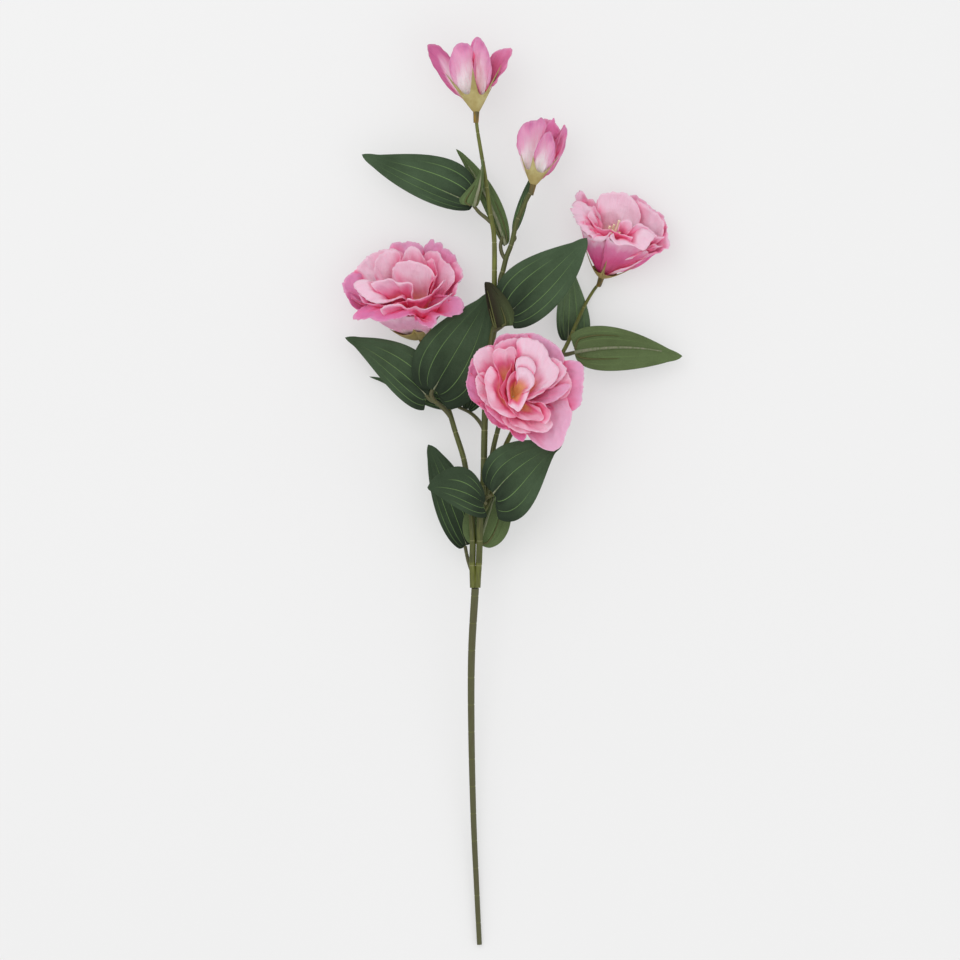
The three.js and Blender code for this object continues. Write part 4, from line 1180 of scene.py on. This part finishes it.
def along_route(points, count):
    """count points at even distances along a smooth curve through the given ones."""
    route = np.array(smooth_route(points))
    distance = np.concatenate([[0], np.cumsum(np.linalg.norm(np.diff(route, axis=0), axis=1))])
    places = np.linspace(0, distance[-1], count)
    return np.stack([np.interp(places, distance, values) for values in route.T], axis=-1)


def cubic(first, second, part):
    """From 0 to 1 over part, with two handles."""
    rest = 1 - part
    return 3 * rest * rest * part * first + 3 * rest * part * part * second + part ** 3


def crumple(rng, wide, long):
    """Creases that run every way over a sheet with the given places in millimetres."""
    total = 0.0
    for length in CRUMPLE_LENGTHS:
        way = rng.uniform(0, np.pi)
        place = 2 * np.pi / length * (wide * np.cos(way) + long * np.sin(way))
        total = total + length * np.sin(place + rng.uniform(0, 2 * np.pi))
    return total / sum(CRUMPLE_LENGTHS)


def corner(end, inner, root):
    """A point that rounds off the end of a rim towards the foot."""
    step = end - inner
    return end + CORNER_DROP * (root - end) + step * CORNER_REACH / max(np.linalg.norm(step), CORNER_REACH)


def petal_grid(base, axis, middle, petal, foot, closed, rng):
    """The middle surface of one petal, its upper face towards the axis."""
    shape, start, end, _, ruffle, rim = petal
    heights = np.linspace(start, end, len(rim))
    root = axis * foot
    if closed:  # a rim that reaches down into the calyx comes back to the axis there
        heights = heights * smooth(0.0, CLOSED_LENGTH, np.array(rim, float)[:, 1])
    given = [np.array((u + middle[0], v + middle[1], z)) for (u, v), z in zip(rim, heights)]
    given = [corner(given[0], given[1], root), *given, corner(given[-1], given[-2], root)]
    line = along_route(given, PETAL_ROWS)
    reach = line - root
    rise = reach @ axis
    out = reach - rise[:, None] * axis
    turning = np.cross(out[:-1], out[1:]) @ axis
    if turning.sum() > 0:
        line, rise, out = line[::-1], rise[::-1], out[::-1]
    across = np.linspace(-1, 1, PETAL_ROWS)[:, None]
    along = np.linspace(0, 1, PETAL_COLUMNS)[None, :]
    torn = TEAR * waves(rng, across, (9, 16)) + FINE_TEAR * waves(rng, across, (23, 31, 37))
    part = along * (1 + torn * ruffle)
    (out_first, up_first), (out_second, up_second), lip = SHAPES[shape]
    share = np.minimum(lip / np.maximum(np.linalg.norm(out, axis=1), 1e-3), LIP_LIMIT)[:, None]
    outward = cubic(out_first, out_second, part) * (1 - share) + share * smooth(0.78, 1.0, along)
    upward = cubic(up_first, up_second, part)
    chord = unit(out[-1] - out[0])
    spread = FOOT_HALF_WIDTH * across[..., None] * (1 - along[..., None]) ** 2 * chord
    grid = root + rise[:, None, None] * upward[..., None] * axis
    grid = grid + out[:, None, :] * outward[..., None] + spread
    normal = sheet_normal(grid)
    broad = waves(rng, across, (2, 3, 4)) * smooth(0.35, 1.0, along)
    fine = waves(rng, across, (6, 9, 14)) * smooth(0.6, 1.0, along) ** 2
    pleats = waves(rng, across, (11, 17)) * smooth(0.1, 0.6, along) * PLEATS.get(shape, PLEAT_HEIGHT)
    puff = PUFF * np.sin(np.pi * along) * waves(rng, across + 0.7 * along, (2, 3))
    length = np.linalg.norm(np.diff(line, axis=0), axis=1).sum()
    wide = 0.5 * length * across * (0.15 + 0.85 * along)
    long = np.linalg.norm(reach, axis=1).mean() * along
    creases = CREASE * crumple(rng, wide, long) * smooth(0.2, 0.6, along)
    push = ruffle * (BROAD_WAVE * broad + fine + puff + creases) + pleats
    return base + grid + normal * push[..., None], across, along


FEET = {"outer_petals": 0.8, "middle_petals": 3.4, "inner_petals": 5.6}  # along the head's axis
OPEN_FOOT = 11.0  # of the inner petals of an open flower
# The fold measures below find how shut in each point of a petal lies between the others; the petal fabric
# paints that as shade.
FOLD_RAYS = 20  # from each point of a face
FOLD_REACH = 16.0
FOLD_STEP = 3  # points of a sheet from one that is measured to the next
FOLD_START = 0.5  # off the sheet
FOLD_LEAN = 1.02  # more than 1, so that every ray leaves on the side of its face
FOLD_FADE = 0.6  # how much less a sheet counts at the end of a ray
FOLD_SHADE_SHARES = {"right_flower": 0.82}  # where the painted fold shade is weaker than elsewhere


def point_depth(tree, start, facing_way, rays):
    """The part of the rays from a point that end on a sheet, the near ones counting most."""
    total = 0.0
    for ray in rays:
        hit = tree.ray_cast(start.tolist(), (facing_way * FOLD_LEAN + ray).tolist(), FOLD_REACH)[3]
        if hit is not None:
            total += 1 - FOLD_FADE * hit / FOLD_REACH
    return total / FOLD_RAYS


def fold_depths(grids, rng):
    """How deep each sheet's two faces lie between the others: 0 in the open and 1 right inside a fold."""
    quads = []
    count = 0
    for grid in grids:
        rows, columns, _ = grid.shape
        quads.append(grid_quads(np.arange(rows * columns).reshape(rows, columns) + count))
        count += rows * columns
    points = np.concatenate([grid.reshape(-1, 3) for grid in grids])
    tree = BVHTree.FromPolygons(points.tolist(), np.concatenate(quads).tolist())
    rays = rng.normal(size=(FOLD_RAYS, 3))
    rays /= np.linalg.norm(rays, axis=1, keepdims=True)
    depths = []
    for grid in grids:
        across, along = np.arange(grid.shape[0]), np.arange(grid.shape[1])
        places, normals = (values[::FOLD_STEP, ::FOLD_STEP] for values in (grid, sheet_normal(grid)))
        faces = []
        for side in (1, -1):
            starts = places + side * FOLD_START * normals
            found = np.zeros(starts.shape[:2])
            for place in np.ndindex(found.shape):
                found[place] = point_depth(tree, starts[place], side * normals[place], rays)
            part = np.stack([np.interp(across, across[::FOLD_STEP], column) for column in found.T], axis=1)
            faces.append(np.stack([np.interp(along, along[::FOLD_STEP], row) for row in part]))
        depths.append(faces)
    return depths


LAYER_SEEDS = 100  # from the seed of one layer's first petal to that of the next


def build_heads(heads, fabric, thickness, seed):
    """The petal layers of several heads, each a piece of its own."""
    for head in heads:
        base, axis, middle = head_frame(head)
        closed = head not in PISTILS
        made = []
        for layer, petals in PETALS[head].items():
            seed += LAYER_SEEDS
            first = FEET[layer] if closed or layer != "inner_petals" else OPEN_FOOT
            for count, petal in enumerate(petals):
                rng = np.random.default_rng(seed + count)
                foot = first + FOOT_STEP * count
                made.append((layer, petal[3], *petal_grid(base, axis, middle, petal, foot, closed, rng)))
        depths = fold_depths([grid for _, _, grid, _, _ in made], np.random.default_rng(seed))
        # Painted shade: how strongly this head's folds are shaded.
        share = FOLD_SHADE_SHARES.get(head, 1.0)
        for layer in PETALS[head]:
            cloth = Cloth()
            for (own, tone, grid, across, along), fold in zip(made, depths):
                if own == layer:
                    heart = 0.0 if closed or layer != "inner_petals" else 1 - smooth(0.28, 0.7, along)
                    cloth.add(grid, 0.5 + 0.5 * across, along, thickness, tone=max(tone, 0.0),
                              outer=max(-tone, 0.0), heart=heart, fold=[share * face for face in fold])
            piece = cloth.build(f"{head}_{layer}_cloth", fabric)
            finish_piece(piece, "petal_fabric", f"{head}_{layer}")


class SPRAY_OT_open_flowers(bpy.types.Operator):
    """Cut and shape the petal layers of the three open flowers"""
    bl_idname = "spray.open_flowers"
    bl_label = "Open flowers"

    FIRST_SEED = 1000

    def execute(self, context):
        sizes, colours = context.scene.spray_sizes, context.scene.spray_colours
        heads = ("left_flower", "front_flower", "right_flower")
        build_heads(heads, petal_material(colours), sizes.petal_thickness, self.FIRST_SEED)
        return {"FINISHED"}


class SPRAY_OT_buds(bpy.types.Operator):
    """Wrap the petals of the two buds"""
    bl_idname = "spray.buds"
    bl_label = "Buds"

    FIRST_SEED = 3000

    def execute(self, context):
        sizes, colours = context.scene.spray_sizes, context.scene.spray_colours
        heads = ("leading_bud", "side_bud")
        build_heads(heads, bud_material(colours), sizes.petal_thickness, self.FIRST_SEED)
        return {"FINISHED"}


# Calyces: a cup round the foot of the petals, with bays between its sepals. A head has the height of its
# bays along the axis, how narrow its sepals are, how straight its wall is, and the tips of its sepals from
# the head's base.

CALYCES = {
    "left_flower": (11.0, 4.5, 0.5, [(-24, 6.5, 8), (-6, 7, 15), (8, 9, 12), (-8, 24, -4), (-24, 18, 0)]),
    "front_flower": (5.0, 4.5, 0.78, [(16, 2, 10), (3, 15, 8), (-14, 6, 8), (-9, -12, 8), (9, -12, 8)]),
    "right_flower": (
        6.0, 9.0, 0.7, [(-14.2, 28.4, 14), (4.6, 14.5, 21), (27, 8.6, 13), (-3, 24, -2), (16, 16, -4)]),
    "leading_bud": (
        13.5, 3.0, 0.92,
        [(-23.5, 30, 5), (-2.7, 33.8, 15.5), (19.4, 36.3, 8), (-9, 30, -11), (9, 30, -11)]),
    "side_bud": (
        10.5, 3.6, 0.85, [(-9.5, 24, 4), (0, 22, 13.5), (19.5, 21.5, 6), (-5, 20, -8), (11, 22, -8)]),
}
CALYX_FOOT_RADIUS = 1.8
CALYX_ROWS = 24  # between two tips
CALYX_COLUMNS = 21
FABRIC_REACH = 30.0  # the height at which the calyx fabric has its tip colour


def calyx_fabric(name, colours, colour):
    """Pale olive fabric, browner at the foot and along the sepals."""
    shader = Shader(name, roughness=0.7, specular=0.25)
    along = shader.along()
    cloud = shader.spread(shader.noise(shader.place(), 160.0), 0.3, 0.7)
    face = shader.mix(cloud, colours.calyx_shade, colour)
    face = shader.mix(shader.spread(along, 0.0, 0.25, 0.7, 0.0), face, colours.calyx_shade)
    shader.colour(shader.mix(shader.spread(along, 0.5, 1.1, 0.0, 0.5), face, colours.stem_pale))
    shader.bump(weave(shader), 0.25, 0.0002)
    return shader.material


def calyx_grid(base, axis, bay, sharpness, bulge, tips):
    """A cup round the axis that is drawn up to a point at each tip."""
    right = unit(np.cross(axis, UP if abs(axis[2]) < 0.9 else (0.0, 1.0, 0.0)))
    back = np.cross(axis, right)
    tips = np.array(tips, float)
    rise = tips @ axis
    out = tips - rise[:, None] * axis
    turn = np.arctan2(out @ back, out @ right)
    order = np.argsort(turn)[::-1]
    turn, rise, width = turn[order], rise[order], np.linalg.norm(out, axis=1)[order]
    around, heights, highest, widest = [], [], [], []
    for index in range(len(tips)):
        after = (index + 1) % len(tips)
        gap = (turn[after] - turn[index]) % (-2 * np.pi)
        for part in np.linspace(0, 1, CALYX_ROWS, endpoint=False):
            peak = (1 - part) * rise[index] + part * rise[after]
            near = abs(1 - 2 * part) ** sharpness
            around.append(turn[index] + gap * part)
            highest.append(peak)
            widest.append((1 - part) * width[index] + part * width[after])
            heights.append(bay + (peak - bay) * near)
    around, heights, highest, widest = (
        np.array([*values, values[0]])[:, None] for values in (around, heights, highest, widest))
    along = np.linspace(0, 1, CALYX_COLUMNS)[None, :]
    height = heights * along
    radius = CALYX_FOOT_RADIUS + (widest - CALYX_FOOT_RADIUS) * (height / highest) ** bulge
    ring = right * np.cos(around)[..., None] + back * np.sin(around)[..., None]
    grid = base + axis * height[..., None] + ring * radius[..., None]
    return grid, np.linspace(0, 1, len(around))[:, None], height / FABRIC_REACH


class SPRAY_OT_calyces(bpy.types.Operator):
    """Press the cup with five sepals under each head"""
    bl_idname = "spray.calyces"
    bl_label = "Calyces"

    def execute(self, context):
        sizes, colours = context.scene.spray_sizes, context.scene.spray_colours
        closed = shared(calyx_fabric, "pressed_calyx", colours, colours.calyx)
        opened = shared(calyx_fabric, "open_calyx", colours, colours.calyx_open)
        for head, shape in CALYCES.items():
            base, axis, _ = head_frame(head)
            cloth = Cloth()
            cloth.add(*calyx_grid(base, axis, *shape), sizes.leaf_thickness)
            piece = cloth.build(f"{head}_calyx_cloth", opened if head in PISTILS else closed)
            finish_piece(piece, "calyx_fabric", f"{head}_calyx")
        return {"FINISHED"}


COLLAR_FROM, COLLAR_TO = -8.0, 0.8  # along the head's axis
COLLAR_POINTS = 4
COLLAR_RADII = (1.95, 2.45)


class SPRAY_OT_collars(bpy.types.Operator):
    """Mould the brown collar that joins each head to its stem"""
    bl_idname = "spray.collars"
    bl_label = "Collars"

    def execute(self, context):
        sizes, colours = context.scene.spray_sizes, context.scene.spray_colours
        plastic = shared(stem_plastic, "moulded_collar", colours.collar, colours.petiole, colours.collar)
        tree = stem_tree()
        for head in HEADS:
            base, axis, _ = head_frame(head)
            points = [base + axis * place for place in np.linspace(COLLAR_FROM, COLLAR_TO, COLLAR_POINTS)]
            tubes = [(points, COLLAR_RADII)]
            piece = swept(f"{head}_moulded_collar", tubes, tree, sizes, plastic, grooved=False)
            finish_piece(piece, "collar_plastic", f"{head}_collar")
        return {"FINISHED"}


# Pistils: the height of each in millimetres. The other sizes of a pistil are in metres.

PISTILS = {"left_flower": 22.0, "front_flower": 9.0, "right_flower": 46.0}
STYLE_RADIUS, BULB_HEIGHT = 0.0007, 0.0016
BULB_TURN = 5.2  # of the wave that swells the ovary and the stigma
STAMENS = 6
STAMEN_LEAN = math.radians(5)
STAMEN_SHARE = 0.85  # of the height of the pistil
STAMEN_RING = 0.0022
STAMEN_RADIUS, ANTHER_RADIUS = 0.0003, 0.001


def pistil_tree():
    """An ovary with a stigma, and a ring of stamens with an anther each, standing along Z."""
    tree = Nodes("Pistil", [
        ("Height", "NodeSocketFloat"), ("Stamens", "NodeSocketInt"), ("Lean", "NodeSocketFloat"),
        ("Material", "NodeSocketMaterial"),
    ])
    given = tree.source.outputs
    place = tree.node("GeometryNodeSplineParameter").outputs["Factor"]

    def thread(height, points):
        top = tree.node("ShaderNodeCombineXYZ", [("Z", height)]).outputs[0]
        line = tree.node("GeometryNodeCurvePrimitiveLine", [("End", top)])
        return tree.node("GeometryNodeResampleCurve", [("Curve", line.outputs[0]), ("Count", points)])

    wave = tree.math("ABSOLUTE", tree.math("COSINE", tree.math("MULTIPLY", place, BULB_TURN)))
    swell = tree.math("MULTIPLY_ADD", tree.math("POWER", wave, 2.0), BULB_HEIGHT, STYLE_RADIUS)
    ovary = tree.tube(thread(given["Height"], 40), tree.circle(16), swell)
    anther = tree.node("ShaderNodeMapRange", [
        ("Value", place), ("From Min", 0.8), ("From Max", 0.9), ("To Min", STAMEN_RADIUS),
        ("To Max", ANTHER_RADIUS),
    ], interpolation_type="SMOOTHSTEP").outputs[0]
    stamen = tree.tube(
        thread(tree.math("MULTIPLY", given["Height"], STAMEN_SHARE), 24), tree.circle(8), anther)
    ring = tree.node("GeometryNodeMeshCircle", [("Vertices", given["Stamens"]), ("Radius", STAMEN_RING)])
    points = tree.node("GeometryNodeMeshToPoints", [("Mesh", ring.outputs[0])])
    index = tree.node("GeometryNodeInputIndex").outputs[0]
    turn = tree.math("DIVIDE", tree.math("MULTIPLY", index, 2 * math.pi), given["Stamens"])
    way = tree.node("ShaderNodeCombineXYZ", [("Y", given["Lean"]), ("Z", turn)]).outputs[0]
    copies = tree.node("GeometryNodeInstanceOnPoints", [
        ("Points", points.outputs[0]), ("Instance", stamen.outputs[0]), ("Rotation", way),
    ])
    both = tree.node("GeometryNodeJoinGeometry", [("Geometry", ovary.outputs[0])])
    tree.tree.links.new(both.inputs[0], copies.outputs[0])
    tree.end_with(both, given["Material"])
    return tree


class SPRAY_OT_pistils(bpy.types.Operator):
    """Grow the pistil and stamens in the heart of each open flower"""
    bl_idname = "spray.pistils"
    bl_label = "Pistils"

    def execute(self, context):
        colours = context.scene.spray_colours
        plastic = shared(stem_plastic, "moulded_pistil", colours.pistil, colours.pistil, colours.pistil)
        tree = pistil_tree()
        for head, height in PISTILS.items():
            mesh = tree.applied([(0, 0, 0), (0, 0, 1)], {
                "Height": height * MM, "Stamens": STAMENS, "Lean": STAMEN_LEAN, "Material": plastic}, head)
            axis = Vector(HEADS[head][1]).normalized()
            foot = Vector(HEADS[head][0]) + axis * FEET["inner_petals"]
            turn = axis.to_track_quat("Z", "Y").to_matrix().to_4x4()
            mesh.transform(Matrix.Translation(foot * MM) @ turn)
            finish_piece(joined_mesh(f"{head}_moulded_pistil", [mesh]), "pistil_plastic", f"{head}_pistil")
        return {"FINISHED"}


# Stage: its lengths are in metres.

CAMERA_CENTRE = (-0.025, 0.0092)
VIEW_WIDTH = 0.7376  # at the level of the flowers
FLOWER_LEVEL = 0.04
FLOOR_SIZE = 6.0
FLOOR_GRAIN = 0.985  # how bright its darker clouds are
FLOOR_GLOW = 0.4
SKY_STRENGTH = 0.95
LAMPS = {  # place, size and power
    "overhead": ((-0.6, 0.7, 1.8), 1.4, 7.0),
    "side": ((1.2, -0.4, 1.2), 1.2, 1.5),
}
LAMP_TARGET = (0.0, 0.1, 0.0)
WHITE = (1.0, 1.0, 1.0, 1.0)


def lamp(name, place, size, power):
    """A round soft light that faces the spray."""
    data = bpy.data.lights.new(name, "AREA")
    data.shape = "DISK"
    data.size = size
    data.energy = power
    light = linked(name, data)
    light.location = place
    light.rotation_euler = (Vector(LAMP_TARGET) - Vector(place)).to_track_quat("-Z", "Y").to_euler()


def floor_paint(name, pale):
    """Matte paint with faint clouds, lit a little from within so that shadows on it stay soft."""
    shader = Shader(name, roughness=0.9, specular=0.1)
    grain = shader.spread(shader.noise(shader.place(), 3.0, 2.0), 0.3, 0.7)
    shader.colour(shader.mix(grain, pale, [FLOOR_GRAIN * part for part in pale]))
    shader.surface.inputs["Emission Color"].default_value = WHITE
    shader.surface.inputs["Emission Strength"].default_value = FLOOR_GLOW
    return shader.material


class SPRAY_OT_stage(bpy.types.Operator):
    """Lay the plain floor, and set the soft lights and the camera above the spray"""
    bl_idname = "spray.stage"
    bl_label = "Stage"

    def execute(self, context):
        scene = context.scene
        sizes, colours = scene.spray_sizes, scene.spray_colours
        half = 0.5 * FLOOR_SIZE
        mesh = bpy.data.meshes.new("floor")
        corners = [(-half, -half, 0), (half, -half, 0), (half, half, 0), (-half, half, 0)]
        mesh.from_pydata(corners, [], [(0, 1, 2, 3)])
        mesh.materials.append(shared(floor_paint, "floor_paint", colours.floor))
        linked("floor", mesh)
        world = bpy.data.worlds.new("studio")
        world.use_nodes = True
        sky = world.node_tree.nodes["Background"]
        sky.inputs["Color"].default_value = WHITE
        sky.inputs["Strength"].default_value = SKY_STRENGTH
        scene.world = world
        for name, settings in LAMPS.items():
            lamp(name, *settings)
        data = bpy.data.cameras.new("camera")
        data.lens = sizes.lens
        distance = VIEW_WIDTH * sizes.lens / data.sensor_width
        camera = linked("camera", data)
        camera.location = (*CAMERA_CENTRE, FLOWER_LEVEL + distance)
        scene.camera = camera
        scene.view_settings.view_transform = "Standard"
        return {"FINISHED"}


class SPRAY_PT_builder(bpy.types.Panel):
    """Lists the spray's sizes, colours and pieces"""
    bl_idname = "SPRAY_PT_builder"
    bl_label = "Lisianthus spray"
    bl_space_type = "VIEW_3D"
    bl_region_type = "UI"
    bl_category = "Spray"

    def draw(self, context):
        layout = self.layout
        for group in (context.scene.spray_sizes, context.scene.spray_colours):
            box = layout.box()
            for key in group.__annotations__:
                box.prop(group, key)
        for operator in OPERATORS:
            layout.operator(operator.bl_idname)


OPERATORS = (
    SPRAY_OT_stage, SPRAY_OT_stems, SPRAY_OT_leaves, SPRAY_OT_leaf_ribs, SPRAY_OT_collars, SPRAY_OT_calyces,
    SPRAY_OT_pistils, SPRAY_OT_open_flowers, SPRAY_OT_buds,
)
CLASSES = (SPRAY_PG_sizes, SPRAY_PG_colours, *OPERATORS, SPRAY_PT_builder)


def register():
    for kind in CLASSES:
        bpy.utils.register_class(kind)
    bpy.types.Scene.spray_sizes = PointerProperty(type=SPRAY_PG_sizes)
    bpy.types.Scene.spray_colours = PointerProperty(type=SPRAY_PG_colours)


def unregister():
    del bpy.types.Scene.spray_sizes
    del bpy.types.Scene.spray_colours
    for kind in reversed(CLASSES):
        bpy.utils.unregister_class(kind)


def main():
    register()
    for operator in OPERATORS:
        group, name = operator.bl_idname.split(".")
        getattr(getattr(bpy.ops, group), name)()


if __name__ == "__main__":
    main()
